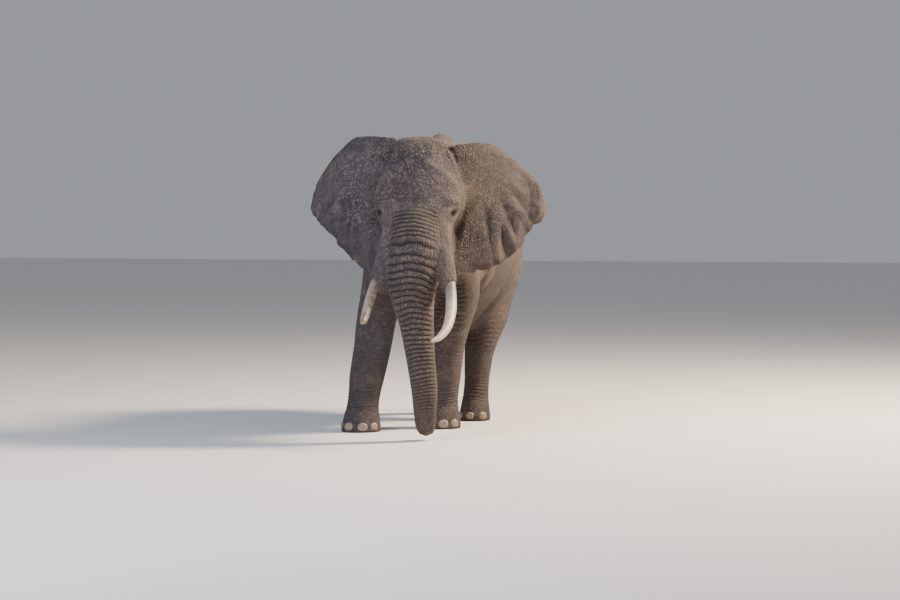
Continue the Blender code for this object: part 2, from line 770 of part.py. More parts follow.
def make_jaw(head, trunk):
    rings = []
    for forward, z, half_width, rise, drop_ in JAW:
        rings.append(oval(head_point(0, forward, z), HEAD_LEFT, UP, half_width, rise, drop_,
                          count=14))
    shape = bmesh.new()
    add_loft(shape, rings)
    jaw = new_object("jaw", shape, HIDE)
    for neighbour in (head, trunk):
        combine_and_drop(jaw, grown(neighbour, GAP), "DIFFERENCE")
    return keep_largest(jaw)


def make_tube(name, rows, finish, sides, place=Vector):
    """A tapering round piece along rows of x, y, z, radius."""
    full = smooth_rows(rows, 1)
    points = [place(row[:3]) for row in full]
    radii = [(row[3], row[3]) for row in full]
    shape = bmesh.new()
    add_loft(shape, path_rings(points, radii, Vector((1, 0.1, 0)), sides))
    return new_object(name, shape, finish)


def make_tusk(name, side, rows, head):
    def place(row):
        return head_point(side * row[0], row[1], row[2])
    tusk = make_tube(name, rows, IVORY, TUSK_SIDES, place)
    combine_and_drop(head, grown(tusk, GAP), "DIFFERENCE")
    return tusk


def surface_point(thing, start, direction):
    shape = BVHTree.FromPolygons([vertex.co[:] for vertex in thing.data.vertices],
                                 [face.vertices[:] for face in thing.data.polygons])
    return shape.ray_cast(start, direction)[0]


def make_eye(name, side, head):
    look = HEAD_LEFT * (side * math.sin(EYE_LOOK)) + HEAD_FORWARD * math.cos(EYE_LOOK)
    before_face = head_point(side * EYE_APART / 2, CLEAR_OF_FACE, EYE_HEIGHT)
    surface = surface_point(head, before_face, -HEAD_FORWARD)
    shape = bmesh.new()
    centre = surface - look * (EYE_RADIUS - EYE_PROUD)
    bmesh.ops.create_icosphere(shape, subdivisions=2, radius=EYE_RADIUS,
                               matrix=Matrix.Translation(centre))
    eye = new_object(name, shape, EYE)
    combine_and_drop(head, grown(eye, GAP), "DIFFERENCE")
    return eye


def make_nails(foot, rows, angles):
    """Toenails let into the front of a foot."""
    x, y = rows[-1][1], rows[-1][2]
    side = "left" if "left" in foot.name else "right"
    end = "front" if "front" in foot.name else "hind"
    nails = []
    for number, degrees in enumerate(angles, 1):
        angle = math.radians(degrees)
        outward = Vector((math.sin(angle), -math.cos(angle), 0))
        start = Vector((x, y, NAIL_HEIGHT)) + outward * CLEAR_OF_FOOT
        surface = surface_point(foot, start, -outward)
        turn = Matrix.Rotation(angle, 4, "Z")
        place = (Matrix.Translation(surface - outward * NAIL_SUNK) @ turn
                 @ Matrix.Diagonal((*NAIL_SIZE, 1)))
        shape = bmesh.new()
        bmesh.ops.create_uvsphere(shape, u_segments=7, v_segments=4, radius=1, matrix=place)
        nail = new_object(f"nail_{end}_{side}_{number}", shape, NAIL)
        nails.append(nail)
    for nail in nails:
        combine_and_drop(foot, grown(nail, GAP), "DIFFERENCE")
    return nails


def make_tail(torso):
    tail = make_tube("tail", TAIL, HIDE, TAIL_SIDES)
    combine_and_drop(tail, grown(torso, GAP), "DIFFERENCE")
    keep_largest(tail)
    tuft = make_tube("tail_tuft", TUFT, HAIR, TAIL_SIDES)
    return [tail, tuft]


# ---------------------------------------------------------------- the whole figure
def centre_on_floor():
    """Move every piece so that the origin is on the floor below the figure's middle."""
    corners = [vertex.co for thing in bpy.data.objects for vertex in thing.data.vertices]
    middle_x = (min(c.x for c in corners) + max(c.x for c in corners)) / 2
    middle_y = (min(c.y for c in corners) + max(c.y for c in corners)) / 2
    shift = Matrix.Translation((-middle_x, -middle_y, 0))
    for thing in bpy.data.objects:
        thing.data.transform(shift)


def shade(thing):
    thing.data.shade_smooth()
    thing.data.set_sharp_from_angle(angle=math.radians(50))


def main():
    clear_scene()
    pieces = part_body(fused_body())
    head = pieces["head"]
    make_jaw(head, pieces["trunk_upper"])
    make_ear("ear_left", 1, EAR_LEFT_RIM, head)
    make_ear("ear_right", -1, EAR_RIGHT_RIM, head)
    make_tusk("tusk_left", 1, TUSK_LEFT, head)
    make_tusk("tusk_right", -1, TUSK_RIGHT, head)
    make_eye("eye_left", 1, head)
    make_eye("eye_right", -1, head)
    make_nails(pieces["foot_front_right"], FORE_RIGHT, FORE_NAIL_ANGLES)
    make_nails(pieces["foot_front_left"], FORE_LEFT, FORE_NAIL_ANGLES)
    make_nails(pieces["foot_hind_left"], HIND_LEFT, HIND_NAIL_ANGLES)
    make_nails(pieces["foot_hind_right"], HIND_RIGHT, HIND_NAIL_ANGLES)
    make_tail(pieces["torso"])
    for thing in bpy.data.objects:
        shade(thing)
    centre_on_floor()


main()
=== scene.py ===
"""The look of the bull African savanna elephant: one wrinkled, dusty hide over its flesh,
with eyes, tusks, toenails and the hair of the tail as pieces of their own."""
import math

import bmesh
import bpy
import numpy as np
from mathutils import Matrix, Vector


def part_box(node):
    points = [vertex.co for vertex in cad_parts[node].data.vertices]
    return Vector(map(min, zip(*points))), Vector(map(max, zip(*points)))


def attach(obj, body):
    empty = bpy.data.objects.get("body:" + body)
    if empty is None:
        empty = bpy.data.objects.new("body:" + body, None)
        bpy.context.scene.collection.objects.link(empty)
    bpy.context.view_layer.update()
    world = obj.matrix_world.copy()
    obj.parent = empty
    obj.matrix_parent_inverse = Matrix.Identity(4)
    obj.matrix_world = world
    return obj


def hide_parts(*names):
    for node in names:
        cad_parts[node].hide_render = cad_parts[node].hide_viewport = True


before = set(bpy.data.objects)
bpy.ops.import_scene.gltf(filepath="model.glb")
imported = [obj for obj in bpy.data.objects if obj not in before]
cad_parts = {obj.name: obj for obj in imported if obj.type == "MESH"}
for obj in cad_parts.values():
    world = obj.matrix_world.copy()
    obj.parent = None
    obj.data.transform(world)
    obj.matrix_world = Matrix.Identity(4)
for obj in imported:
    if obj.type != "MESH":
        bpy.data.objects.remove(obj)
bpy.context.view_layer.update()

# ------------------------------------------------------------------ the flesh under the hide
# Barrel, neck, head, trunk, muscles and legs are laid as plain lofts and ovals, then fused
# and softened to one body, as a museum's sculptor packs clay over an armature. They are set
# out about the floor point below the shoulders, and SETTLE moves them to the figure's place.

# the low corner of the tail tuft's box, as it is set out
TUFT_LOW_CORNER = Vector((0.02623, 2.68323, 0.51942))
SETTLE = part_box("tail_tuft")[0] - TUFT_LOW_CORNER

HEAD_TURN = math.radians(9)
HEAD_PLACE = Vector((0.30, -1.05, 0))
TO_LEFT = Vector((math.cos(HEAD_TURN), math.sin(HEAD_TURN), 0))
FORWARD = Vector((math.sin(HEAD_TURN), -math.cos(HEAD_TURN), 0))
UP = Vector((0, 0, 1))
SIDEWAYS = Vector((1, 0, 0))
LENGTHWAYS = Vector((0, 1, 0))

# y, x, top, height of the widest place, bottom, half width
BARREL = (
    (-0.62, 0.02, 2.72, 2.15, 1.62, 0.34), (-0.38, 0.00, 3.00, 2.12, 1.38, 0.50),
    (-0.05, 0.00, 3.21, 2.05, 1.25, 0.62), (0.35, 0.00, 3.29, 1.98, 1.17, 0.72),
    (0.75, 0.00, 3.25, 1.92, 1.07, 0.80), (1.15, 0.00, 3.19, 1.90, 1.00, 0.83),
    (1.50, 0.00, 3.22, 1.95, 1.02, 0.80), (1.82, -0.01, 3.26, 2.05, 1.14, 0.72),
    (2.15, -0.02, 3.16, 2.10, 1.35, 0.60), (2.42, -0.02, 2.92, 2.12, 1.55, 0.44),
    (2.60, -0.02, 2.62, 2.12, 1.75, 0.26),
)
# x, y, z, half width, rise, drop
NECK = (
    (0.00, -0.15, 2.25, 0.58, 0.84, 0.80), (0.08, -0.45, 2.38, 0.52, 0.70, 0.72),
    (0.18, -0.72, 2.46, 0.47, 0.62, 0.66), (0.27, -0.95, 2.50, 0.44, 0.60, 0.62),
)
# z, back, front, half width
SKULL = (
    (3.275, -0.24, -0.06, 0.12), (3.24, -0.36, 0.03, 0.25), (3.15, -0.46, 0.11, 0.335),
    (3.00, -0.55, 0.19, 0.40), (2.82, -0.60, 0.28, 0.455), (2.62, -0.60, 0.37, 0.49),
    (2.42, -0.58, 0.42, 0.475), (2.22, -0.54, 0.44, 0.40), (2.02, -0.48, 0.42, 0.35),
    (1.85, -0.40, 0.38, 0.31), (1.70, -0.30, 0.33, 0.26),
)
# left, forward, z, half width, half depth
TRUNK = (
    (0.00, 0.20, 2.48, 0.26, 0.20), (0.00, 0.30, 2.20, 0.275, 0.25),
    (-0.01, 0.37, 1.95, 0.285, 0.26), (-0.022, 0.41, 1.72, 0.274, 0.245),
    (-0.010, 0.43, 1.53, 0.240, 0.225), (0.025, 0.44, 1.30, 0.193, 0.195),
    (0.068, 0.43, 0.92, 0.161, 0.16), (0.106, 0.40, 0.57, 0.146, 0.138),
    (0.112, 0.37, 0.31, 0.129, 0.118), (0.110, 0.33, 0.175, 0.116, 0.105),
    (0.108, 0.25, 0.125, 0.10, 0.085), (0.106, 0.18, 0.135, 0.09, 0.07),
)
# forward, z, half width, rise, drop
JAW = (
    (-0.36, 1.98, 0.28, 0.18, 0.20), (-0.20, 1.87, 0.28, 0.20, 0.20),
    (0.00, 1.76, 0.25, 0.19, 0.18), (0.18, 1.66, 0.19, 0.16, 0.15),
    (0.30, 1.59, 0.13, 0.11, 0.10), (0.38, 1.555, 0.06, 0.05, 0.05),
)
# left, forward, z, radius, of the sheath that each tusk grows from
SHEATH = (
    (0.24, 0.08, 2.46, 0.12), (0.28, 0.24, 2.18, 0.112), (0.325, 0.37, 1.95, 0.104),
    (0.37, 0.455, 1.78, 0.092), (0.398, 0.505, 1.685, 0.082),
)
# z, x, y, half width, half length
LEGS = {
    "front_right": (
        (2.05, -0.36, -0.10, 0.24, 0.36), (1.75, -0.365, -0.11, 0.235, 0.34),
        (1.45, -0.425, -0.09, 0.235, 0.28), (1.18, -0.48, -0.10, 0.222, 0.235),
        (0.96, -0.49, -0.17, 0.214, 0.215), (0.68, -0.515, -0.27, 0.205, 0.205),
        (0.40, -0.545, -0.33, 0.182, 0.185), (0.26, -0.556, -0.36, 0.184, 0.19),
        (0.12, -0.562, -0.385, 0.207, 0.222), (0.03, -0.563, -0.39, 0.224, 0.238),
        (-0.03, -0.563, -0.39, 0.218, 0.232)),
    "front_left": (
        (2.05, 0.42, -0.05, 0.24, 0.36), (1.75, 0.45, -0.04, 0.25, 0.34),
        (1.47, 0.425, 0.05, 0.245, 0.28), (1.18, 0.335, 0.14, 0.225, 0.235),
        (0.95, 0.265, 0.20, 0.213, 0.215), (0.68, 0.225, 0.25, 0.203, 0.205),
        (0.40, 0.20, 0.285, 0.182, 0.185), (0.26, 0.19, 0.29, 0.184, 0.19),
        (0.12, 0.185, 0.28, 0.207, 0.222), (0.03, 0.185, 0.275, 0.224, 0.238),
        (-0.03, 0.185, 0.275, 0.218, 0.232)),
    "hind_left": (
        (2.30, 0.36, 1.90, 0.32, 0.46), (2.00, 0.39, 1.86, 0.34, 0.46),
        (1.70, 0.40, 1.78, 0.32, 0.42), (1.40, 0.385, 1.66, 0.27, 0.36),
        (1.15, 0.37, 1.55, 0.25, 0.30), (0.92, 0.335, 1.50, 0.195, 0.24),
        (0.72, 0.30, 1.50, 0.162, 0.20), (0.48, 0.282, 1.50, 0.148, 0.178),
        (0.30, 0.276, 1.47, 0.151, 0.182), (0.14, 0.275, 1.43, 0.170, 0.215),
        (0.03, 0.275, 1.42, 0.185, 0.235), (-0.03, 0.275, 1.42, 0.18, 0.23)),
    "hind_right": (
        (2.30, -0.36, 1.92, 0.32, 0.46), (2.00, -0.39, 1.92, 0.34, 0.45),
        (1.70, -0.40, 1.88, 0.32, 0.41), (1.40, -0.395, 1.84, 0.27, 0.35),
        (1.15, -0.385, 1.84, 0.245, 0.29), (0.92, -0.38, 1.90, 0.195, 0.24),
        (0.72, -0.37, 1.99, 0.162, 0.205), (0.48, -0.36, 2.11, 0.148, 0.18),
        (0.30, -0.355, 2.16, 0.151, 0.185), (0.14, -0.355, 2.15, 0.170, 0.215),
        (0.03, -0.355, 2.14, 0.185, 0.235), (-0.03, -0.355, 2.14, 0.18, 0.23)),
}
# x, y, z, radii, lean: the shoulder and the haunch
MUSCLES = (
    (0.38, 0.12, 2.32, (0.27, 0.36, 0.72), math.radians(-16)),
    (0.36, 1.88, 2.30, (0.32, 0.46, 0.62), 0.0),
)
# the left shoulder blade stands higher, with that leg's weight on it
LEFT_HUMP = (Vector((0.18, 0.30, 3.01)), (0.19, 0.40, 0.335))
# left, forward, z, radii: brow, cheek, and the lip beside a tusk
FACE_MASSES = (
    (0.345, 0.15, 2.57, (0.115, 0.15, 0.10)), (0.29, -0.06, 2.20, (0.12, 0.24, 0.38)),
    (0.342, 0.505, 1.705, (0.062, 0.088, 0.145)),
)
RING_POINTS = 48
CLAY_GRAIN = 0.02
CLAY_PASSES = 22


def eased(before, here, after, beyond, t):
    """A smooth curve's value between here and after."""
    return 0.5 * (2 * here + (after - before) * t
                  + (2 * before - 5 * here + 4 * after - beyond) * t * t
                  + (3 * here - before - 3 * after + beyond) * t * t * t)


def smooth_rows(rows, steps):
    """The rows of a table with eased rows in between."""
    last = len(rows) - 1
    result = []
    for index in range(last):
        four = (rows[max(index - 1, 0)], rows[index], rows[index + 1], rows[min(index + 2, last)])
        for step in range(steps):
            result.append([eased(*values, step / steps) for values in zip(*four)])
    result.append(list(rows[last]))
    return result


def oval(centre, side, up, half_width, rise, drop, rise_power=2.0, drop_power=2.0,
         count=RING_POINTS):
    """A ring whose upper and lower halves have their own reach and fullness."""
    ring = []
    for index in range(count):
        angle = math.tau * index / count
        across, along = math.cos(angle), math.sin(angle)
        power = 2 / (rise_power if along >= 0 else drop_power)
        reach = rise if along >= 0 else drop
        ring.append(centre + side * (half_width * math.copysign(abs(across) ** power, across))
                    + up * (reach * math.copysign(abs(along) ** power, along)))
    return ring


def skin_over(shape, rings):
    """A closed skin over rings of equal count."""
    grid = [[shape.verts.new(point) for point in ring] for ring in rings]
    faces = [shape.faces.new(grid[0]), shape.faces.new(grid[-1])]
    for ring, following in zip(grid, grid[1:]):
        for index in range(len(ring)):
            after = (index + 1) % len(ring)
            faces.append(shape.faces.new(
                (ring[index], ring[after], following[after], following[index])))
    bmesh.ops.recalc_face_normals(shape, faces=faces)


def rings_along(points, radii, hint, count=RING_POINTS):
    """Rings square to a path; radii are (across, deep) pairs."""
    rings = []
    last = len(points) - 1
    for index, point in enumerate(points):
        along = (points[min(index + 1, last)] - points[max(index - 1, 0)]).normalized()
        deep = along.cross(hint).normalized()
        across = deep.cross(along).normalized()
        wide, thick = radii[index]
        rings.append(oval(point, across, deep, wide, thick, thick, count=count))
    return rings


def rope(shape, path, rows, hint, count=RING_POINTS):
    """A closed round length along a path; the fourth value of each row is its radius."""
    skin_over(shape, rings_along(path, [(row[3], row[3]) for row in rows], hint, count))


def on_head(left, forward, height):
    """A place on the head, which is swung and turned a little to the left."""
    return HEAD_PLACE + TO_LEFT * left + FORWARD * forward + UP * height


def lump(shape, centre, radii, turn=Matrix()):
    place = Matrix.Translation(centre) @ turn @ Matrix.Diagonal((*radii, 1))
    bmesh.ops.create_icosphere(shape, subdivisions=4, radius=1, matrix=place)


def in_scene(name, data):
    thing = bpy.data.objects.new(name, data)
    bpy.context.scene.collection.objects.link(thing)
    return thing


def as_object(name, shape):
    mesh = bpy.data.meshes.new(name)
    shape.to_mesh(mesh)
    shape.free()
    return in_scene(name, mesh)


def bake_modifiers(thing):
    """Turn what an object's modifiers make into its plain mesh."""
    depsgraph = bpy.context.evaluated_depsgraph_get()
    mesh = bpy.data.meshes.new_from_object(thing.evaluated_get(depsgraph))
    thing.modifiers.clear()
    thing.data = mesh


def fuse(thing, grain):
    voxels = thing.modifiers.new("Fuse", "REMESH")
    voxels.mode = "VOXEL"
    voxels.voxel_size = grain


def soften(thing, passes, group=""):
    smooth = thing.modifiers.new("Soften", "SMOOTH")
    smooth.factor = 0.5
    smooth.iterations = passes
    smooth.vertex_group = group


clay = bmesh.new()
skin_over(clay, [oval(Vector((x, y, widest)), SIDEWAYS, UP, half, top - widest,
                      widest - bottom, 1.9, 1.75)
                 for y, x, top, widest, bottom, half in smooth_rows(BARREL, 6)])
skin_over(clay, [oval(Vector((x, y, z)), Vector((1, 0.2, 0)).normalized(), UP, half, rise,
                      drop, 2.0, 1.8)
                 for x, y, z, half, rise, drop in smooth_rows(NECK, 6)])
skull_rings = []
for z, back, front, half in smooth_rows(SKULL, 6):
    middle = max(min(-0.06, front - 0.05), back + 0.05)
    skull_rings.append(oval(on_head(0, middle, z), TO_LEFT, FORWARD, half, front - middle,
                            middle - back, 2.2, 2.2))
skin_over(clay, skull_rings)
skin_over(clay, [oval(on_head(0, forward, z), TO_LEFT, UP, half, rise, drop)
                 for forward, z, half, rise, drop in smooth_rows(JAW, 4)])
trunk_rows = smooth_rows(TRUNK, 8)
trunk_path = [on_head(*row[:3]) for row in trunk_rows]
skin_over(clay, rings_along(trunk_path, [row[3:] for row in trunk_rows], TO_LEFT))
for rows in LEGS.values():
    skin_over(clay, [oval(Vector((x, y, z)), SIDEWAYS, LENGTHWAYS, half_width, half_length,
                          half_length, 2.15, 2.15)
                     for z, x, y, half_width, half_length in smooth_rows(rows, 6)])
head_turned = Matrix.Rotation(HEAD_TURN, 4, "Z")
for side in (1, -1):
    for x, y, z, radii, lean in MUSCLES:
        lump(clay, Vector((side * x, y, z)), radii, Matrix.Rotation(lean, 4, "X"))
    for left, forward, z, radii in FACE_MASSES:
        lump(clay, on_head(side * left, forward, z), radii, head_turned)
    sheath_rows = smooth_rows(SHEATH, 4)
    sheath_path = [on_head(side * row[0], row[1], row[2]) for row in sheath_rows]
    rope(clay, sheath_path, sheath_rows, TO_LEFT)
lump(clay, *LEFT_HUMP)
skin = as_object("skin", clay)
fuse(skin, CLAY_GRAIN)
soften(skin, CLAY_PASSES)
bake_modifiers(skin)

# ------------------------------------------------------------------ ears and tail
# Each ear is a broad thin flap of skin and gristle on the side of the head. It sweeps back
# to its rim, hangs in folds below, and rolls over at the edge. The tail is a long thin
# tapering rope of flesh that hangs from the rump.
EAR_LEFT_RIM = (
    (0.00, 3.17), (0.30, 3.21), (0.53, 3.20), (0.77, 3.05), (1.00, 2.86), (1.13, 2.67),
    (1.175, 2.50), (1.12, 2.35), (1.00, 2.27), (0.94, 2.13), (0.76, 1.985), (0.60, 1.890),
    (0.38, 1.81), (0.16, 1.785), (0.02, 1.72),
)
EAR_RIGHT_RIM = (
    (0.00, 3.26), (0.26, 3.285), (0.58, 3.285), (0.72, 3.22), (0.88, 3.09), (1.05, 2.88),
    (1.25, 2.66), (1.34, 2.51), (1.25, 2.42), (0.98, 2.29), (0.81, 2.18), (0.57, 2.01),
    (0.41, 1.89), (0.25, 1.80), (0.02, 1.73),
)
# z, left, forward, along the side of the head
EAR_SEAT = np.array((
    (3.15, 0.29, -0.20), (2.80, 0.40, -0.16), (2.45, 0.43, -0.12), (2.15, 0.37, -0.05),
    (1.90, 0.35, 0.02), (1.70, 0.36, 0.05),
))[::-1]
EAR_SEAT_TOP, EAR_SEAT_BOTTOM = 3.13, 1.76
EAR_REACH = 1.15
EAR_SWEEP_ROOT, EAR_SWEEP_RIM = math.radians(22), math.radians(60)
EAR_ROOT_THICKNESS, EAR_RIM_THICKNESS = 0.046, 0.022
EAR_COLUMNS, EAR_ROWS = 90, 190
# reach and height of the place that the folds fan out from, at the top of the root
FAN_ROOT = (0.05, 3.15)
# for the left ear, 1, and the right ear, -1: angle about that place, half width, height
EAR_CRESTS = {
    1: ((0.30, 0.040, 0.026), (0.43, 0.042, 0.060), (0.565, 0.050, 0.075),
        (0.70, 0.045, 0.042), (0.82, 0.045, 0.048), (0.98, 0.050, 0.048)),
    -1: ((0.34, 0.045, 0.034), (0.52, 0.050, 0.046), (0.66, 0.045, -0.050),
         (0.80, 0.050, 0.042)),
}
# how deep the torn lower edge is scalloped, and nicked between
SCALLOP_DEPTH, NICK_DEPTH = {1: 0.074, -1: 0.032}, 0.018
# angles of the valleys between the crests, which are painted dark as shade
EAR_VALLEYS = {1: (0.37, 0.50, 0.635, 0.76, 0.90), -1: (0.43, 0.58, 0.72, 0.88)}
TAIL = (
    (-0.02, 2.36, 2.62, 0.085), (-0.02, 2.44, 2.66, 0.085), (-0.02, 2.66, 2.55, 0.075),
    (-0.02, 2.76, 2.32, 0.055), (0.00, 2.77, 1.95, 0.040), (0.03, 2.74, 1.50, 0.029),
    (0.05, 2.72, 1.10, 0.022), (0.06, 2.72, 0.98, 0.018),
)


def step_up(value, low, high):
    """0 below low, 1 above high, and a smooth rise between."""
    share = np.clip((value - low) / (high - low), 0, 1)
    return share * share * (3 - 2 * share)


def between(value, low, full, falls, gone):
    """1 from full to falls, and nothing outside low and gone."""
    return step_up(value, low, full) * (1 - step_up(value, falls, gone))


def hill(value, middle, half_width):
    """1 at the middle, falling smoothly to nothing."""
    return np.exp(-((value - middle) / half_width) ** 2)


def ear_fold(side, reach, out, height):
    """How far the flap stands in front of its plain curve. Folds fan out from the top of the
    ear's root, and deepen toward the lower edge."""
    grow = np.minimum(reach / EAR_REACH, 1)
    fan = np.arctan2(reach - FAN_ROOT[0], FAN_ROOT[1] - height)
    hang = step_up(np.hypot(reach - FAN_ROOT[0], FAN_ROOT[1] - height), 0.50, 1.10)
    round_ear = np.arctan2(height - 2.55, reach + 0.25)
    stands = 0.024 * grow * np.sin(7.5 * round_ear + 0.6 * side)
    stands += 0.020 * np.maximum(0, 2.3 - height) * np.sin(17 * reach + side)
    stands -= 0.10 * np.maximum(0, (height - 3.02) / 0.25) ** 2
    stands -= 0.015 * np.maximum(0, (grow - 0.82) / 0.18) ** 2
    if side > 0:
        # one deep fold and lesser ones beside it hang down, and the outer rim curls forward
        middle = between(height, 2.24, 2.40, 2.74, 2.98)
        below = (hang * (1 - step_up(fan, 1.0, 1.5))
                 * (1 - 0.8 * middle * step_up(reach, 0.80, 0.92)))
        for crest, half, tall in EAR_CRESTS[side]:
            stands += tall * below * hill(fan + 0.03 * np.sin(9 * height + 20 * crest), crest, half)
        stands += (0.007 * below * step_up(fan, 0.28, 0.42)
                   * np.sin(95 * fan + 3 * np.sin(7 * height)))
        stands += 0.125 * middle * step_up(reach, 0.90, 1.15)
        stands -= 0.014 * middle * hill(reach, 0.90, 0.07)
    else:
        # folds run round the outer corner like ripples, and long ones hang inside them
        corner = np.hypot(reach - 1.42, (height - 2.48) * 0.9)
        near = step_up(-corner, -0.75, -0.25)
        near = near * (1 - 0.6 * step_up(out, 0.85, 1.0))
        stands += 0.026 * near * np.sin(corner * 40 + 1.2 * np.sin(height * 9))
        below = hang * (1 - step_up(fan, 0.95, 1.2))
        for crest, half, tall in EAR_CRESTS[side]:
            stands += tall * below * hill(fan + 0.04 * np.sin(8 * height + 15 * crest), crest, half)
        stands += 0.005 * below * np.sin(80 * fan + 3 * np.sin(6 * height))
    return stands


def ear_points(side, rim):
    """Middle layer of an ear as a grid of points, with the way each point faces. Its folds
    stand off squarely near the head and straight ahead near the rim."""
    rim_rows = np.array(smooth_rows(rim, 12))
    share = np.linspace(0, 1, EAR_ROWS + 1)
    at = share * (len(rim_rows) - 1)
    rim_reach = np.interp(at, range(len(rim_rows)), rim_rows[:, 0])
    rim_height = np.interp(at, range(len(rim_rows)), rim_rows[:, 1])
    rim_fan = np.arctan2(rim_reach - FAN_ROOT[0], FAN_ROOT[1] - rim_height)
    scallops = (1 - np.abs(np.sin(24 * rim_fan + side))) ** 1.5
    scallops = scallops * (0.6 + 0.4 * np.sin(9 * rim_fan))
    nicks = np.maximum(np.sin(share * 131) * np.sin(share * 37 + side), 0)
    torn = SCALLOP_DEPTH[side] * scallops + NICK_DEPTH * nicks
    torn = torn * step_up(share, 0.46, 0.58) * (1 - step_up(share, 0.94, 1.0))
    seat_line = EAR_SEAT_TOP + (EAR_SEAT_BOTTOM - EAR_SEAT_TOP) * share
    kept = 1 - torn / np.maximum(np.hypot(rim_reach, rim_height - seat_line), 0.2)
    rim_reach, rim_height = rim_reach * kept, seat_line + (rim_height - seat_line) * kept
    out = np.linspace(0, 1, EAR_COLUMNS + 1)[None, :]
    seat_height = seat_line[:, None]
    reach = rim_reach[:, None] * out
    height = seat_height + (rim_height[:, None] - seat_height) * out
    seat_left = np.interp(height, EAR_SEAT[:, 0], EAR_SEAT[:, 1])
    seat_forward = np.interp(height, EAR_SEAT[:, 0], EAR_SEAT[:, 2])
    bend = (EAR_SWEEP_RIM - EAR_SWEEP_ROOT) / EAR_REACH
    sweep = EAR_SWEEP_ROOT + bend * reach
    left = seat_left + (np.sin(sweep) - math.sin(EAR_SWEEP_ROOT)) / bend
    forward = seat_forward - (math.cos(EAR_SWEEP_ROOT) - np.cos(sweep)) / bend
    stands = ear_fold(side, reach, out, height)
    normal = (np.array(TO_LEFT) * (side * np.sin(sweep))[..., None]
              + np.array(FORWARD) * np.cos(sweep)[..., None])
    place = (np.array(HEAD_PLACE) + np.array(TO_LEFT) * (side * left)[..., None]
             + np.array(FORWARD) * forward[..., None] + np.array(UP) * height[..., None])
    turn = 0.7 * step_up(out, 0.50, 0.90)[..., None]
    place = place + (normal * (1 - turn) + np.array(FORWARD) * turn) * stands[..., None]
    facing = np.cross(np.gradient(place, axis=0), np.gradient(place, axis=1))
    facing *= np.sign((facing * normal).sum(axis=2))[..., None]
    return place, facing / np.linalg.norm(facing, axis=2)[..., None]


def border(grid):
    return (grid[0][:-1] + [line[-1] for line in grid[:-1]]
            + grid[-1][:0:-1] + [line[0] for line in grid[:0:-1]])


def flap(shape, side, rim):
    place, normal = ear_points(side, rim)
    out = np.linspace(0, 1, EAR_COLUMNS + 1)
    half = (EAR_ROOT_THICKNESS + (EAR_RIM_THICKNESS - EAR_ROOT_THICKNESS) * out) / 2
    layers = []
    for layer in (1, -1):
        points = place + normal * (layer * half)[None, :, None]
        grid = [[shape.verts.new(point) for point in line] for line in points]
        for upper, lower in zip(grid, grid[1:]):
            for a, b, c, d in zip(upper, upper[1:], lower[1:], lower):
                shape.faces.new((a, b, c, d))
        layers.append(border(grid))
    outer, inner = layers
    for index in range(len(outer)):
        after = (index + 1) % len(outer)
        shape.faces.new((outer[index], outer[after], inner[after], inner[index]))
    bmesh.ops.recalc_face_normals(shape, faces=shape.faces)


def join_to_skin(thing):
    with bpy.context.temp_override(active_object=skin, selected_editable_objects=[skin, thing]):
        bpy.ops.object.join()


for side, rim in ((1, EAR_LEFT_RIM), (-1, EAR_RIGHT_RIM)):
    shape = bmesh.new()
    flap(shape, side, rim)
    join_to_skin(as_object("ear", shape))
shape = bmesh.new()
tail_rows = smooth_rows(TAIL, 8)
tail_path = [Vector(row[:3]) for row in tail_rows]
rope(shape, tail_path, tail_rows, Vector((1, 0.1, 0)), 24)
join_to_skin(as_object("tail_flesh", shape))
HIDE_GRAIN, HIDE_PASSES = 0.010, 4
fuse(skin, HIDE_GRAIN)
soften(skin, HIDE_PASSES)
bake_modifiers(skin)

# ------------------------------------------------------------------ folds, rings and lids
# The hide is loose and deeply creased: ringed across the trunk, cut by short cross folds
# at its root, crackled on the brow, banded at the knees and ankles, with thick wrinkled
# lids. Each is pressed into the fused skin, finest on the face and trunk. The ears are
# crackled only in their finish.


def get_points(mesh, what="co"):
    """The place, or the normal, of each point of a mesh."""
    flat = np.empty(len(mesh.vertices) * 3, np.float32)
    mesh.vertices.foreach_get(what, flat)
    return flat.reshape(-1, 3).astype(float)


def set_points(mesh, points):
    mesh.vertices.foreach_set("co", points.astype(np.float32).ravel())
    mesh.update()


def carry(mesh, name, values):
    """Keep a value at each point of a mesh, for its finish to read."""
    layer = mesh.attributes.new(name, "FLOAT", "POINT")
    layer.data.foreach_set("value", np.asarray(values, np.float32))


def head_frame(points):
    """Distances to the left of the head's middle, forward of it, and above the floor."""
    away = points - np.array(HEAD_PLACE)
    return away @ np.array(TO_LEFT), away @ np.array(FORWARD), points[:, 2]


def split_finer(thing, wanted):
    """Cut the faces whose middles are wanted into four."""
    shape = bmesh.new()
    shape.from_mesh(thing.data)
    shape.faces.ensure_lookup_table()
    middles = np.array([face.calc_center_median()[:] for face in shape.faces])
    chosen = np.nonzero(wanted(middles))[0]
    edges = {edge for index in chosen for edge in shape.faces[index].edges}
    bmesh.ops.subdivide_edges(shape, edges=list(edges), cuts=1, use_grid_fill=True)
    shape.to_mesh(thing.data)
    shape.free()


def on_face_or_trunk(points):
    left, ahead, height = head_frame(points)
    return ((ahead > 0.12 - 0.25 * (height > 1.8) - 0.30 * (height > 3.0))
            & (abs(left) < 0.55) & (height > 0.10))


eyes = {}
EYE_LOOK = math.radians(58)
for side, name in ((1, "eye_left"), (-1, "eye_right")):
    low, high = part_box(name)
    eyes[side] = (np.array((low + high) / 2 - SETTLE),
                  np.array(TO_LEFT * (side * math.sin(EYE_LOOK)) + FORWARD * math.cos(EYE_LOOK)))


def near_eyes(reach):
    def wanted(points):
        return np.minimum(*(np.linalg.norm(points - centre, axis=1)
                            for centre, _ in eyes.values())) < reach
    return wanted


split_finer(skin, on_face_or_trunk)
for reach in (0.11, 0.05):
    split_finer(skin, near_eyes(reach))


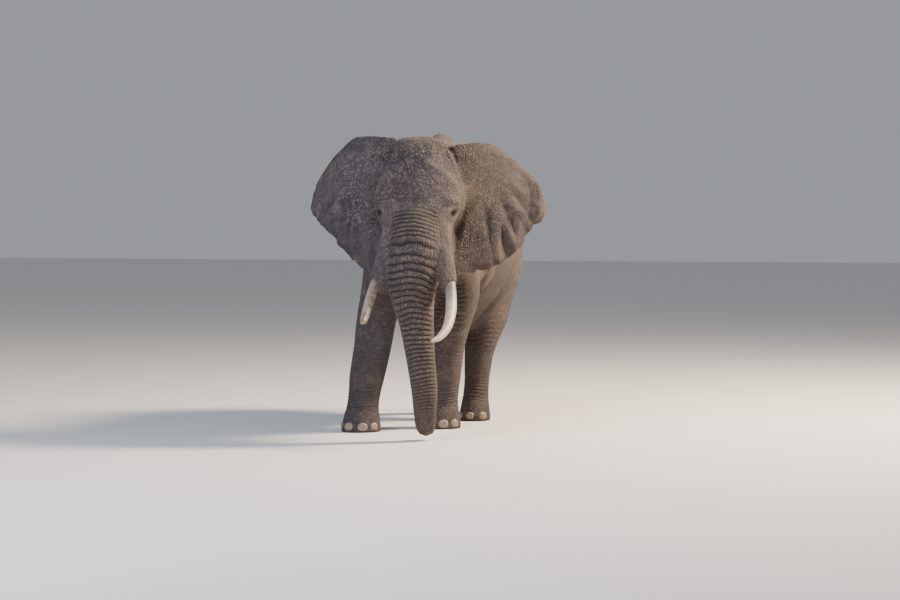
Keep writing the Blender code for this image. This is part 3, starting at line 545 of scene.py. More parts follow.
FAR = 9.0


def chance(x, y, z):
    """A fixed random number, 0 to 1, for each whole-numbered place."""
    mixed = (x * 73856093) ^ (y * 19349663) ^ (z * 83492791)
    mixed = ((mixed ^ (mixed >> 13)) * 1274126177) & 0xFFFFFFFF
    mixed = ((mixed ^ (mixed >> 15)) * 974634777) & 0xFFFFFFFF
    return ((mixed ^ (mixed >> 16)) & 0xFFFF) / 65535.0


def drift(points, size):
    """A random value, 0 to 1, that drifts softly over the given size."""
    scaled = points / size
    cell = np.floor(scaled).astype(np.int64)
    part = scaled - cell
    part = part * part * (3 - 2 * part)
    total = 0
    for dx in (0, 1):
        for dy in (0, 1):
            for dz in (0, 1):
                share = np.prod(np.where((dx, dy, dz), part, 1 - part), axis=1)
                total = total + share * chance(cell[:, 0] + dx, cell[:, 1] + dy, cell[:, 2] + dz)
    return total


def crackle(points, size):
    """0 in the cracks between cells of the given size, 1 on the cells."""
    scaled = points / size
    cell = np.floor(scaled).astype(np.int64)
    nearest = np.full(len(points), FAR)
    second = nearest.copy()
    for dx in (-1, 0, 1):
        for dy in (-1, 0, 1):
            for dz in (-1, 0, 1):
                x, y, z = cell[:, 0] + dx, cell[:, 1] + dy, cell[:, 2] + dz
                seed = np.stack((x + chance(x, y, z), y + chance(y, z, x + 7),
                                 z + chance(z, x + 3, y)), axis=1)
                away = ((scaled - seed) ** 2).sum(axis=1)
                second = np.minimum(second, np.maximum(nearest, away))
                nearest = np.minimum(nearest, away)
    return np.clip((np.sqrt(second) - np.sqrt(nearest)) / 0.4, 0, 1) ** 0.7


def creases(phase, sharpness=0.6):
    """0 at each whole number, rounding up to 1 between."""
    return np.abs(np.sin(np.pi * phase)) ** sharpness


points = get_points(skin.data)
normals = get_points(skin.data, "normal")
left, ahead, height = head_frame(points)
HOLLOW_PASSES = 40
soften(skin, HOLLOW_PASSES)
smoothed = skin.evaluated_get(bpy.context.evaluated_depsgraph_get())
# how far a much smoother hide would stand outside this one, which tells the hollows
hollow = ((get_points(smoothed.data) - points) * normals).sum(axis=1)
skin.modifiers.clear()
wander = drift(points, 0.22) - 0.5
quiver = drift(points + 5.0, 0.05) - 0.5
form = np.zeros(len(points))           # broad shapes, along the normal
press = np.zeros(len(points))          # creases, along the normal
crease_shade = np.zeros(len(points))         # how much painted shade each point gets in a crease
dark = np.zeros(len(points))           # how dark each point is besides that: mostly painted shade, with some darker skin


def crease(pattern, depth, tone):
    """Press a pattern of creases into the hide, and note how much painted shade darkens them."""
    global press, crease_shade
    press = press + depth * (pattern - 1)
    crease_shade = np.maximum(crease_shade, tone * (1 - pattern))


# where the ears are, with painted shade along the valleys of their folds, over parts of each ear,
# and in the groove at each ear's root
seat_left = np.interp(height, EAR_SEAT[:, 0], EAR_SEAT[:, 1])
seat_ahead = np.interp(height, EAR_SEAT[:, 0], EAR_SEAT[:, 2])
ear_bend = (EAR_SWEEP_RIM - EAR_SWEEP_ROOT) / EAR_REACH
past_seat = np.abs(left) - seat_left
sweep = np.arcsin(np.clip(past_seat * ear_bend + math.sin(EAR_SWEEP_ROOT), 0, 0.999))
off_sheet = ahead - seat_ahead + (math.cos(EAR_SWEEP_ROOT) - np.cos(sweep)) / ear_bend
on_ear = (step_up(past_seat, 0.02, 0.09) * (np.abs(off_sheet) < 0.16)
          * step_up(height, 1.66, 1.70))
fan_here = np.arctan2((sweep - EAR_SWEEP_ROOT) / ear_bend - FAN_ROOT[0], FAN_ROOT[1] - height)
from_fan = np.hypot((sweep - EAR_SWEEP_ROOT) / ear_bend - FAN_ROOT[0], FAN_ROOT[1] - height)
# painted shade along the valleys of each ear's folds
for side, valleys in EAR_VALLEYS.items():
    this_ear = on_ear * (left * side > 0)
    for number, valley in enumerate(valleys):
        swing = fan_here + 0.03 * np.sin(9 * height + 20 * valley) + 0.04 * wander
        tone = 0.55 + 0.15 * math.sin(5 * number)
        crease_shade = np.maximum(crease_shade, tone * this_ear * hill(swing, valley, 0.034)
                            * step_up(from_fan, 0.55, 0.9))
# painted shade over the left ear, most at its top, and over the right ear's lower part
ear_shade = np.where(left > 0, np.interp(height, (2.15, 2.50, 2.95), (0.33, 0.25, 0.50)),
                     np.interp(height, (2.20, 2.45), (0.28, 0.0)))
dark = np.maximum(dark, ear_shade * on_ear)
dark = np.maximum(dark, 0.18 * step_up(height, 3.0, 3.15) * (ahead < -0.5))
# the groove at each ear's root, pressed in and painted dark as shade
root_groove = (hill(past_seat, 0.020, 0.036) * (off_sheet > -0.01) * (off_sheet < 0.25)
               * step_up(height, 1.95, 2.2) * (1 - step_up(height, 3.20, 3.30)))
form -= 0.030 * root_groove
dark = np.maximum(dark, 0.60 * root_groove)
# a painted shadow on the right ear, close to the head
dark = np.maximum(dark, 0.55 * hill(past_seat, 0.06, 0.07) * hill(height, 2.62, 0.28)
                  * (left < 0) * (off_sheet < 0.25))

# trunk rings: height, spacing, depth, droop at the sides, how far aside the top of the arch is
RINGS = np.array((
    (0.00, 0.034, 0.000, 0.00, 0.3), (0.15, 0.034, 0.001, 0.01, 0.3),
    (0.35, 0.037, 0.005, 0.02, 0.4), (0.60, 0.040, 0.010, 0.03, 0.4),
    (0.90, 0.044, 0.013, 0.03, 0.3), (1.05, 0.048, 0.015, 0.03, 0.2),
    (1.20, 0.054, 0.017, 0.03, 0.1), (1.40, 0.060, 0.019, 0.04, 0.0),
    (1.55, 0.067, 0.019, 0.05, -0.1), (1.75, 0.072, 0.017, 0.07, -0.15),
    (1.95, 0.084, 0.011, 0.08, -0.15), (2.06, 0.110, 0.008, 0.08, -0.15),
    (2.16, 0.110, 0.008, 0.08, -0.15), (2.22, 0.043, 0.007, 0.07, -0.15),
    (2.40, 0.041, 0.007, 0.06, -0.15), (2.46, 0.041, 0.004, 0.05, -0.15),
    (2.58, 0.040, 0.001, 0.05, -0.15), (2.64, 0.040, 0.000, 0.05, -0.15),
    (3.40, 0.040, 0.000, 0.05, -0.15),
))
trunk_line = np.array(trunk_rows)
trunk_line = trunk_line[np.argsort(trunk_line[:, 2])]
middle_left, middle_ahead, half_width = (
    np.interp(height, trunk_line[:, 2], trunk_line[:, column]) for column in (0, 1, 3))
aside = (left - middle_left) / half_width
droop, apex, ring_depth = (np.interp(height, RINGS[:, 0], RINGS[:, column])
                           for column in (3, 4, 2))
in_front = step_up(ahead - middle_ahead, -0.12, 0.03)
on_front = in_front * (1 - step_up(np.abs(aside), 0.80, 1.08)) * (height < 2.7)
ring_levels = np.linspace(0, 3.4, 1200)
ring_count = np.concatenate(([0], np.cumsum(
    np.diff(ring_levels) / np.interp(ring_levels[:-1], RINGS[:, 0], RINGS[:, 1]))))
phase = (np.interp(height + droop * (aside - apex) ** 2, ring_levels, ring_count)
         + 0.75 * wander + 0.22 * quiver)
sharpness = np.interp(height, (1.0, 1.5, 2.05, 2.25), (0.75, 0.60, 0.60, 0.85))
crease(creases(phase, sharpness), on_front * ring_depth,
       1.3 * on_front * step_up(ring_depth, 0.0005, 0.006))
minor = creases(2 * phase + 0.5 * wander + 0.5)
crease(minor, on_front * 0.18 * ring_depth * step_up(quiver, 0, 0.1), 0)

# short folds that cut across the ridges, each row of them set off from the next
CROSS_SPACING = 0.028
row_shift = 0.45 * np.sin(np.floor(phase) * 2.4)
cross = creases((left - middle_left) / CROSS_SPACING + row_shift + 0.9 * wander + 0.5 * quiver)
cut = (between(height, 0.9, 1.3, 2.26, 2.40)
       * (0.35 + 0.65 * step_up(drift(points + 9, 0.09), 0.35, 0.6)))
plain_band = hill(height + droop * (aside - apex) ** 2, 2.13, 0.055)
beads = on_front * step_up(height, 0.2, 0.8) * (1 - step_up(height, 2.35, 2.55))
crease(cross, on_front * (0.0055 * cut + 0.0045 * plain_band),
       on_front * (0.60 * cut + 0.55 * plain_band))

# long folds down the sides of the trunk's root, the cheeks and the tusk sheaths
face_side = (step_up(ahead, -0.22, 0.02) * (1 - on_front) * (np.abs(left) < 0.62)
             * step_up(height, 1.56, 1.70) * (1 - step_up(height, 2.30, 2.50)) * (1 - on_ear))
round_head = np.arctan2(left, ahead + 0.4)
deeper = step_up(drift(points * np.array((1, 1, 0.4)) + 3, 0.10), 0.35, 0.7)
depth_now = face_side * (0.0015 + 0.0050 * deeper)
long_folds = creases(round_head * 15 + 1.9 * wander + 0.7 * quiver + 0.5 * height)
crease(long_folds, depth_now, 80 * depth_now)

# the crackled brow
BROW_CELL, BROW_DEPTH = 0.038, 0.0032
face_now = (ahead > -0.45) & (np.abs(left) < 0.60) & (height > 1.5)
brow = face_now * (1 - on_front * step_up(-height, -2.62, -2.45)) * (1 - 0.6 * face_side)
fine = on_face_or_trunk(points) | near_eyes(0.3)(points)
small_cells = np.ones(len(points))
warped = points + 0.022 * np.stack((quiver, wander, -quiver), axis=1)
small_cells[fine] = crackle(warped[fine] * np.array((1.0, 1.0, 0.8)), BROW_CELL)
crease(small_cells, BROW_DEPTH * brow * fine, 0.5 * brow * fine)

# the crest of the arch over each eye: aside, height
ARCH = np.array(smooth_rows(((0.10, 2.99), (0.22, 2.93), (0.34, 2.84), (0.43, 2.73),
                             (0.47, 2.60), (0.45, 2.49)), 6))
gap = np.full(len(points), FAR)
near_head = face_now & (height > 2.3)
for arch_left, arch_height in ARCH:
    gap[near_head] = np.minimum(gap[near_head], np.hypot(
        np.abs(left[near_head]) - arch_left, height[near_head] - arch_height))
form += 0.011 * hill(gap, 0, 0.040) * (ahead > -0.2)
# hollow temples, and sunk places behind each eye and above the trunk's root: left, forward,
# z, radius, depth
HOLLOWS = (
    (0.30, 0.10, 3.03, 0.10, 0.026), (0.40, 0.02, 2.90, 0.07, 0.020),
    (0.40, 0.00, 2.30, 0.09, 0.022), (0.20, 0.33, 2.74, 0.10, 0.004),
)


def round_spot(place, radius):
    """1 at a place, falling smoothly to nothing around it."""
    return np.exp(-((points - np.array(place)) ** 2).sum(axis=1) / radius ** 2)


for side in (1, -1):
    for left_by, forward, z, radius, depth in HOLLOWS:
        form -= depth * round_spot(on_head(side * left_by, forward, z), radius)

# bands round the legs: leg, lowest, highest, spacing, depth
BANDS = (
    ("front_left", 1.08, 1.72, 0.050, 0.024), ("front_left", 0.66, 1.05, 0.046, 0.006),
    ("front_left", 0.20, 0.56, 0.036, 0.013), ("front_right", 0.66, 1.05, 0.046, 0.006),
    ("front_right", 0.20, 0.58, 0.036, 0.014), ("front_right", 1.15, 1.60, 0.050, 0.007),
    ("hind_left", 0.20, 0.60, 0.036, 0.012), ("hind_right", 0.20, 0.60, 0.036, 0.012),
    ("hind_left", 0.75, 1.15, 0.050, 0.008), ("hind_right", 0.75, 1.15, 0.050, 0.008),
)
on_leg, banded = np.zeros(len(points)), np.zeros(len(points))
for leg, lowest, highest, spacing, depth in BANDS:
    rows = np.array(LEGS[leg])[::-1]
    x, y, wide, deep = (np.interp(height, rows[:, 0], rows[:, k]) for k in (1, 2, 3, 4))
    around = np.hypot((points[:, 0] - x) / wide, (points[:, 1] - y) / deep)
    near = step_up(-around, -1.45, -1.15)
    on_leg = np.maximum(on_leg, near * (1 - step_up(height, 1.70, 1.95)))
    here = near * step_up(height, lowest, lowest + 0.08)
    here = here * (1 - step_up(height, highest - 0.10, highest))
    if highest > 1.7:
        here = here * (1 - step_up(points[:, 0] - x, 0.13, 0.20))
    banded = np.maximum(banded, here)
    folds = creases(height / spacing + 1.5 * wander + 0.5 * quiver, 0.55)
    crease(folds, here * depth, here * np.minimum(75 * depth, 0.95))

# upright folds: neck behind the ears, flank, thigh and rump
UPRIGHT_SPACING = 0.085
on_barrel = ((points[:, 1] > -0.75) * step_up(height, 0.95, 1.3) * (1 - step_up(height, 2.9, 3.1))
             * (1 - on_ear) * (1 - face_now) * (1 - 0.8 * on_leg))
neck_zone = 1 - step_up(points[:, 1], -0.25, 0.15)
flank_zone = hill(points[:, 1], 1.25, 0.35) * (height < 2.0)
thigh_zone = step_up(points[:, 1], 1.75, 2.05) * (height < 2.2)
upright = creases(points[:, 1] / UPRIGHT_SPACING + 0.35 * height + 1.8 * wander)
upright_depth = on_barrel * (0.012 * neck_zone + 0.005 * flank_zone + 0.005 * thigh_zone)
crease(upright, upright_depth, 75 * upright_depth)

# a fold of loose skin from the flank to each elbow, and the belly's edge in front of each
# thigh, which is further back on the right: x, y, z
ELBOW_FOLD = np.array(smooth_rows(((0.74, 0.62, 2.00), (0.70, 0.50, 1.78), (0.64, 0.42, 1.58),
                                   (0.594, 0.40, 1.40), (0.52, 0.36, 1.22)), 7))
BELLY_EDGE = np.array(smooth_rows(((0.80, 1.32, 1.82), (0.79, 1.19, 1.70), (0.75, 0.99, 1.61),
                                   (0.674, 0.915, 1.483), (0.573, 0.878, 1.356),
                                   (0.474, 0.905, 1.25), (0.375, 1.009, 1.155)), 7))
RIGHT_THIGH_BACK = 0.25


def beside(line, zone, back=0.0):
    """How far each point is from a line on the flank, and whether it lies behind it."""
    away = np.full(len(points), FAR)
    behind = np.ones(len(points))
    here = np.abs(points[zone])
    nearest = away[zone]
    after = behind[zone]
    for x, y, z in line:
        gap = np.stack((here[:, 0] - x, points[zone, 1] - y - back, here[:, 2] - z), axis=1)
        far = np.linalg.norm(gap * np.array((0.5, 1, 1)), axis=1)
        closer = far < nearest
        nearest = np.where(closer, far, nearest)
        after = np.where(closer, 0.45 * gap[:, 1] - 0.9 * gap[:, 2] + 0.5 * gap[:, 0], after)
    away[zone], behind[zone] = nearest, np.where(after < 0, -1, 1)
    return away, behind


away, behind = beside(ELBOW_FOLD, (height > 1.1) & (height < 2.1) & (points[:, 1] > 0.1)
                      & (points[:, 1] < 0.9))
form += 0.040 * hill(away, 0, 0.026) - 0.022 * hill(away, 0.065, 0.030)
# painted shade in the crease behind the elbow fold, and a painted highlight along its crest
crease_shade = np.maximum(crease_shade, 0.75 * hill(away * -behind, 0.062, 0.026))
pale = 0.85 * hill(away, 0, 0.026)
# darker low on the flank behind the foreleg, and painted shade over the hind legs and the low rear
# of the body, halved on the left's outer side
low_flank = (between(points[:, 1], 0.20, 0.50, 1.1, 1.6)
             * (1 - step_up(height, 1.70, 2.15)) * step_up(height, 0.9, 1.1))
dark = np.maximum(dark, 0.38 * low_flank)
hind_shade = (step_up(points[:, 1], 1.1, 1.45) * (1 - step_up(height, 1.8, 2.3))
              * (1 - 0.5 * step_up(points[:, 0], 0.42, 0.52)))
dark = np.maximum(dark, 0.42 * hind_shade)
for side in (1, -1):
    back = RIGHT_THIGH_BACK * (side < 0)
    away, behind = beside(BELLY_EDGE, (points[:, 0] * side > 0) & (height > 0.5)
                          & (height < 2.4) & (points[:, 1] > 0.3) & (points[:, 1] < 2.5), back)
    past = away * behind
    deep = between(height, 0.95, 1.20, 1.48, 1.80)
    form += deep * (0.012 * hill(past, -0.05, 0.05) - 0.052 * hill(past, 0.070, 0.068))
    crease_shade = np.maximum(crease_shade, 0.85 * deep * hill(past, 0.030, 0.035))
    # painted shade on the thigh beyond the belly's edge, and a painted highlight along the edge
    dark = np.maximum(dark, 0.60 * (0.25 + 0.75 * deep) * step_up(past, -0.02, 0.06)
                      * (1 - step_up(past, 0.15, 0.48)))
    pale = np.maximum(pale, 0.30 * deep * hill(past, -0.02, 0.020))
# painted highlights down the lit side of the face on the elephant's left, and along each arch over
# the eyes
lit_cheek_edge = (between(left, 0.12, 0.30, 0.46, 0.53) * face_now * (1 - on_ear)
          * step_up(height, 1.75, 2.0) * (1 - step_up(height, 2.40, 2.62)) * (ahead > -0.1))
pale = np.maximum(pale, 0.20 * lit_cheek_edge + 0.24 * hill(gap, 0, 0.032) * (ahead > -0.1))
in_shade = hill(ahead, -0.72, 0.26) * hill(height, 1.50, 0.24) * (np.abs(left) < 0.7)
dark = np.maximum(dark, 0.62 * in_shade)

# nostrils, and the two fingers at the trunk's tip: aside, z, radius, rise
TRUNK_TIP = (
    (0.030, 0.132, 0.020, -0.026), (-0.030, 0.132, 0.020, -0.026),
    (0, 0.205, 0.030, 0.014), (0, 0.060, 0.030, 0.012),
)
tip_left, tip_forward = 0.106, 0.155
for tip_aside, z, radius, rise in TRUNK_TIP:
    near = round_spot(on_head(tip_left + tip_aside, tip_forward, z), radius)
    form += rise * near
    # the nostrils are painted nearly black as shade
    dark = np.maximum(dark, 0.9 * near * (rise < 0))

# 1 on crests and plain hide, less in creases and hollows: the finish paints shade where it is low,
# and lays dust where it is high
ridge = 1 - np.clip(crease_shade + (26 + 16 * on_ear) * hollow * (1 - on_front), 0, 1)
patches = step_up(drift(points + 21, 0.30), 0.30, 0.75)
ear_middle = hill(past_seat, 0.30, 0.28) * step_up(height, 1.9, 2.2)
low_ear = on_ear * (left < 0) * (1 - step_up(height, 2.15, 2.40))
rough = np.clip((0.30 + 0.50 * brow * fine + 0.50 * on_ear * ear_middle + 0.30 * on_front
                 + 0.30 * on_leg) * (0.55 + 0.45 * patches) * (1 - 0.6 * low_ear), 0, 1)
points += normals * (press + form)[:, None]

# lids: the opening is almond shaped, its outer corner higher; the upper lid is thick under a
# deep fold, and the lower lid lies over a wrinkled pouch
BALL = 0.020
OPENING, UPPER_LID, LOWER_LID, LID_FRONT, SKIN_FRONT = 0.029, 0.0145, 0.0135, 0.0215, 0.0125
for side, (centre, look) in eyes.items():
    level_way = np.cross((0, 0, 1), look)
    level_way /= np.linalg.norm(level_way)
    up_way = np.cross(look, level_way)
    away = points - centre
    near = (np.linalg.norm(away, axis=1) < 0.17) & (np.abs(away @ look) < 0.12)
    away = away[near]
    outer, above, out = away @ level_way * side, away @ up_way, away @ look
    above = above - 0.22 * outer
    r = np.hypot(outer, above)
    slit = (np.abs(outer / OPENING) ** 1.5
            + np.abs(above / np.where(above > 0, UPPER_LID, LOWER_LID)) ** 1.7) ** 0.62
    ball_front = np.sqrt(np.maximum((BALL + 0.0005) ** 2 - r ** 2, 0)) - 0.003
    lid = LID_FRONT - 0.18 * np.abs(outer) * (slit > 0.9)
    face = SKIN_FRONT + (lid - SKIN_FRONT) * (1 - step_up(slit, 1.35, 2.5))
    upper, lower = step_up(above, -0.002, 0.006), step_up(-above, -0.002, 0.006)
    face -= upper * (0.0065 * hill(slit, 1.85, 0.22) + 0.003 * hill(slit, 2.6, 0.25))
    face -= lower * (0.0035 * hill(slit, 1.75, 0.20) + 0.003 * hill(slit, 3.1, 0.30))
    face += 0.0045 * np.exp(-((above + 0.040) ** 2 / 0.014 ** 2 + outer ** 2 / 0.040 ** 2))
    face += 0.0040 * np.exp(-((above - 0.042) ** 2 / 0.012 ** 2 + outer ** 2 / 0.045 ** 2))
    loose = hill(slit, 3.4, 1.4) * (0.4 + drift(points[near] + 31, 0.025))
    rounds = creases(slit / 0.62 + 1.9 * wander[near] + 0.9 * quiver[near], 0.7)
    rays = creases(np.arctan2(above, outer) * 3.2 + 1.5 * quiver[near], 0.7)
    face -= 0.0030 * loose * (1 - rounds) + 0.0022 * loose * (1 - rays) * lower
    inside = 1 - step_up(slit, 0.96, 1.06)
    wanted = ball_front * inside + face * (1 - inside)
    share = 1 - step_up(r, 0.055, 0.120)
    points[near] += look[None, :] * ((wanted - out) * share)[:, None]
    # dark wet skin round the opening and a dark stain under it, with painted shade under the upper
    # lid's fold, along the lower lid and in the socket
    wet_skin_and_shade = 0.95 * (1 - step_up(slit, 1.45, 2.20)) + 0.55 * upper * hill(slit, 2.2, 0.30)
    wet_skin_and_shade = wet_skin_and_shade + 0.30 * lower * hill(slit, 1.75, 0.2) + 0.18 * (1 - step_up(r, 0.03, 0.08))
    pouch = np.hypot(outer / 0.032, (above + 0.024) / 0.022)
    wet_skin_and_shade = wet_skin_and_shade + 0.85 * (1 - step_up(pouch, 0.7, 1.2))
    dark[near] = np.maximum(dark[near], np.clip(wet_skin_and_shade, 0, 0.95))
    ridge[near] = ridge[near] * (1 - share) + share * (1 - 0.45 * loose * (1 - rounds))

points[:, 2] = np.maximum(points[:, 2], 0)
set_points(skin.data, points)
for name, values in (("ridge", ridge), ("dark", dark), ("rough", rough), ("beads", beads),
                     ("pale", pale)):
    carry(skin.data, name, values)

# the hide is thinned freely where it is plain, less in the folds, and hardly round the eyes
SKIN_TRIANGLES = 238000
THIN_EYES, THIN_FOLDS, THIN_PLAIN = 0.05, 0.6, 1.0
thin_freely = skin.vertex_groups.new(name="thin_freely")
freely = np.where(near_eyes(0.10)(points), THIN_EYES,
                  np.where(fine | (banded > 0.3), THIN_FOLDS, THIN_PLAIN))
for value in (THIN_EYES, THIN_FOLDS, THIN_PLAIN):
    thin_freely.add(np.nonzero(freely == value)[0].tolist(), value, "REPLACE")
triangles = sum(len(face.vertices) - 2 for face in skin.data.polygons)
thin = skin.modifiers.new("Thin", "DECIMATE")
thin.ratio = SKIN_TRIANGLES / triangles
thin.vertex_group = "thin_freely"
thin.vertex_group_factor = 1.0
bake_modifiers(skin)
skin.vertex_groups.clear()
skin.data.transform(Matrix.Translation(SETTLE))
skin.data.shade_smooth()

# ------------------------------------------------------------------ colour of the hide
# Elephant hide is a purple-grey to warm brown, powdered with tan dust on the brow, on its
# crests and wherever it faces up. Its folds and hollows, and places the light misses, are
# painted dark as shade; lit crests and edges are painted pale as highlights, and its left
# side is painted warmer, where the light falls.
FLESH_NODES = ("torso", "neck", "head", "jaw", "trunk_upper", "trunk_middle", "trunk_lower",
               "leg_front_right", "leg_front_left", "leg_hind_left", "leg_hind_right",
               "foot_front_right", "foot_front_left", "foot_hind_left", "foot_hind_right",
               "ear_left", "ear_right", "tail")


def add(tree, kind, settings, sockets):
    """A node of a tree; a socket's value is a plain one, or another node's output."""
    node = tree.nodes.new(kind)
    for name, value in settings.items():
        setattr(node, name, value)
    for name, value in sockets.items():
        if isinstance(value, bpy.types.NodeSocket):
            tree.links.new(value, node.inputs[name])
        else:
            node.inputs[name].default_value = value
    return node


def mottle(tree, size, detail=4.0, roughness=0.55, stretch=(1, 1, 1)):
    """Soft random patches of the given size, from 0 to 1."""
    place = add(tree, "ShaderNodeTexCoord", {}, {}).outputs["Object"]
    if stretch != (1, 1, 1):
        place = add(tree, "ShaderNodeMapping", {}, {"Vector": place, "Scale": stretch}).outputs[0]
    return add(tree, "ShaderNodeTexNoise", {}, {
        "Vector": place, "Scale": 1 / size, "Detail": detail,
        "Roughness": roughness}).outputs["Fac"]


def ranged(tree, value, low, high, to_low=0.0, to_high=1.0):
    return add(tree, "ShaderNodeMapRange", {}, {
        "Value": value, "From Min": low, "From Max": high,
        "To Min": to_low, "To Max": to_high}).outputs[0]


def sums(tree, kind, a, b):
    return add(tree, "ShaderNodeMath", {"operation": kind}, {0: a, 1: b}).outputs[0]


def blend(tree, share, under, over):
    """One colour over another, by a share."""
    return add(tree, "ShaderNodeMix", {"data_type": "RGBA"},
               {0: share, 6: under, 7: over}).outputs[2]


def part_of(tree, vector, axis):
    return add(tree, "ShaderNodeSeparateXYZ", {}, {0: vector}).outputs[axis]


def carried(tree, name):
    """A value that the mesh carries at its points."""
    return add(tree, "ShaderNodeAttribute", {"attribute_name": name}, {}).outputs["Fac"]


def new_finish(name, roughness):
    """A material, its tree of nodes and its shader."""
    finish = bpy.data.materials.new(name)
    finish.use_nodes = True
    shader = finish.node_tree.nodes["Principled BSDF"]
    shader.inputs["Roughness"].default_value = roughness
    return finish, finish.node_tree, shader


hide, tree, shader = new_finish("hide", 0.78)
GREY = (0.060, 0.051, 0.063, 1)
BROWN = (0.100, 0.067, 0.047, 1)
DUST_AND_HIGHLIGHT = (0.27, 0.21, 0.165, 1)
# the near black of dark hide, cracks and painted shade
DARK_HIDE_AND_SHADE = (0.012, 0.009, 0.010, 1)
MUD = (0.034, 0.026, 0.024, 1)
CRACKLE, PORES, PALE_CELL, BEAD = 0.034, 0.010, 0.022, 0.017
ridge_share, rough_share = carried(tree, "ridge"), carried(tree, "rough")
place = add(tree, "ShaderNodeTexCoord", {}, {}).outputs["Object"]
stir = add(tree, "ShaderNodeTexNoise", {}, {"Vector": place, "Scale": 22.0, "Detail": 2.0})
stir = add(tree, "ShaderNodeVectorMath", {"operation": "SCALE"},
           {0: stir.outputs["Color"], "Scale": 0.020}).outputs[0]
stirred = add(tree, "ShaderNodeVectorMath", {"operation": "ADD"}, {0: place, 1: stir}).outputs[0]


def cells(at, size):
    """How far each place lies from the crack between two cells of the given size."""
    return add(tree, "ShaderNodeTexVoronoi", {"feature": "DISTANCE_TO_EDGE"},
               {"Vector": at, "Scale": 1 / size}).outputs["Distance"]


def cell_tones(at, size):
    """A random value, 0 to 1, for each cell of the given size."""
    chosen = add(tree, "ShaderNodeTexVoronoi", {"feature": "F1"},
                 {"Vector": at, "Scale": 1 / size}).outputs["Color"]
    return add(tree, "ShaderNodeSeparateColor", {}, {0: chosen}).outputs[0]


# browner in soft patches, and painted warmer towards the elephant's left, the side the light falls
# on
brown_share_and_sunlit_side = sums(tree, "ADD", ranged(tree, mottle(tree, 0.8, 3), 0.35, 0.65, 0, 0.6),
            ranged(tree, part_of(tree, place, "X"), -0.7, 0.9, -0.15, 0.45))
colour = blend(tree, brown_share_and_sunlit_side, GREY, BROWN)
colour = blend(tree, ranged(tree, mottle(tree, 0.10, 5), 0.48, 0.75, 0, 0.35), colour, DUST_AND_HIGHLIGHT)
pale_cells = sums(tree, "MULTIPLY", rough_share, ranged(
    tree, cell_tones(stirred, PALE_CELL), 0.55, 0.92, 0, 0.88))
speckle = ranged(tree, mottle(tree, 0.010, 3, 0.7), 0.50, 0.66, 0, 0.28)
faces_up = part_of(tree, add(tree, "ShaderNodeNewGeometry", {}, {}).outputs["Normal"], "Z")
upward = ranged(tree, faces_up, 0.3, 1.0, 0, 0.10)
long_place = add(tree, "ShaderNodeVectorMath", {"operation": "MULTIPLY"},
                 {0: stirred, 1: (1, 1, 0.45)}).outputs[0]
bead_share = carried(tree, "beads")
pale_beads = sums(tree, "MULTIPLY", bead_share, ranged(
    tree, cell_tones(long_place, BEAD), 0.35, 0.85, 0.05, 0.60))
dusty = sums(tree, "MULTIPLY", ridge_share, sums(tree, "ADD", sums(
    tree, "ADD", speckle, upward), sums(tree, "MAXIMUM", pale_cells, pale_beads)))
# dust on the crests and up-facing places, and painted highlights on lit crests and edges
colour = blend(tree, sums(tree, "MAXIMUM", dusty, carried(tree, "pale")), colour, DUST_AND_HIGHLIGHT)
bead_gaps = sums(tree, "MULTIPLY", bead_share, ranged(
    tree, cells(long_place, BEAD), 0.16, 0.02, 0, 0.6))
colour = blend(tree, bead_gaps, colour, DARK_HIDE_AND_SHADE)
worn = ranged(tree, mottle(tree, 0.16, 4, 0.65), 0.48, 0.72, 0, 0.42)
colour = blend(tree, worn, colour, DARK_HIDE_AND_SHADE)
cracks = sums(tree, "MULTIPLY", ranged(tree, cells(stirred, CRACKLE), 0.17, 0.0), rough_share)
colour = blend(tree, cracks, colour, DARK_HIDE_AND_SHADE)
# painted shade in the creases and hollows
colour = blend(tree, ranged(tree, ridge_share, 0.72, 0.05, 0, 0.90), colour, DARK_HIDE_AND_SHADE)
# painted shade, and some darker skin, from the dark value
colour = blend(tree, carried(tree, "dark"), colour, DARK_HIDE_AND_SHADE)
mud_line = sums(tree, "ADD", part_of(tree, place, "Z"),
                ranged(tree, mottle(tree, 0.4, 3), 0, 1, -0.3, 0.3))
mud = ranged(tree, mud_line, 1.9, 1.0, 0, 0.55)
mud = sums(tree, "MULTIPLY", mud, ranged(tree, bead_share, 0, 1, 1, 0.35))
colour = blend(tree, mud, colour, MUD)
# painted highlights on lit crests and edges, over the mud
colour = blend(tree, ranged(tree, carried(tree, "pale"), 0.38, 0.85, 0, 0.42), colour, DUST_AND_HIGHLIGHT)
tree.links.new(colour, shader.inputs["Base Color"])
relief = sums(tree, "MULTIPLY", rough_share, ranged(
    tree, cells(stirred, CRACKLE), 0, 0.30, 0, 1.6))
relief = sums(tree, "ADD", relief, ranged(tree, cells(stirred, PORES), 0, 0.25, 0, 0.5))
relief = sums(tree, "ADD", relief, sums(tree, "MULTIPLY", mottle(tree, 0.035, 6, 0.7), 1.6))
bump = add(tree, "ShaderNodeBump", {}, {"Height": relief, "Distance": 0.0042, "Strength": 1.0})
tree.links.new(bump.outputs[0], shader.inputs["Normal"])
shader.inputs["Specular IOR Level"].default_value = 0.35
skin.data.materials.clear()
skin.data.materials.append(hide)
skin.data.polygons.foreach_set("material_index", [0] * len(skin.data.polygons))
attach(skin, "root")
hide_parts(*FLESH_NODES)

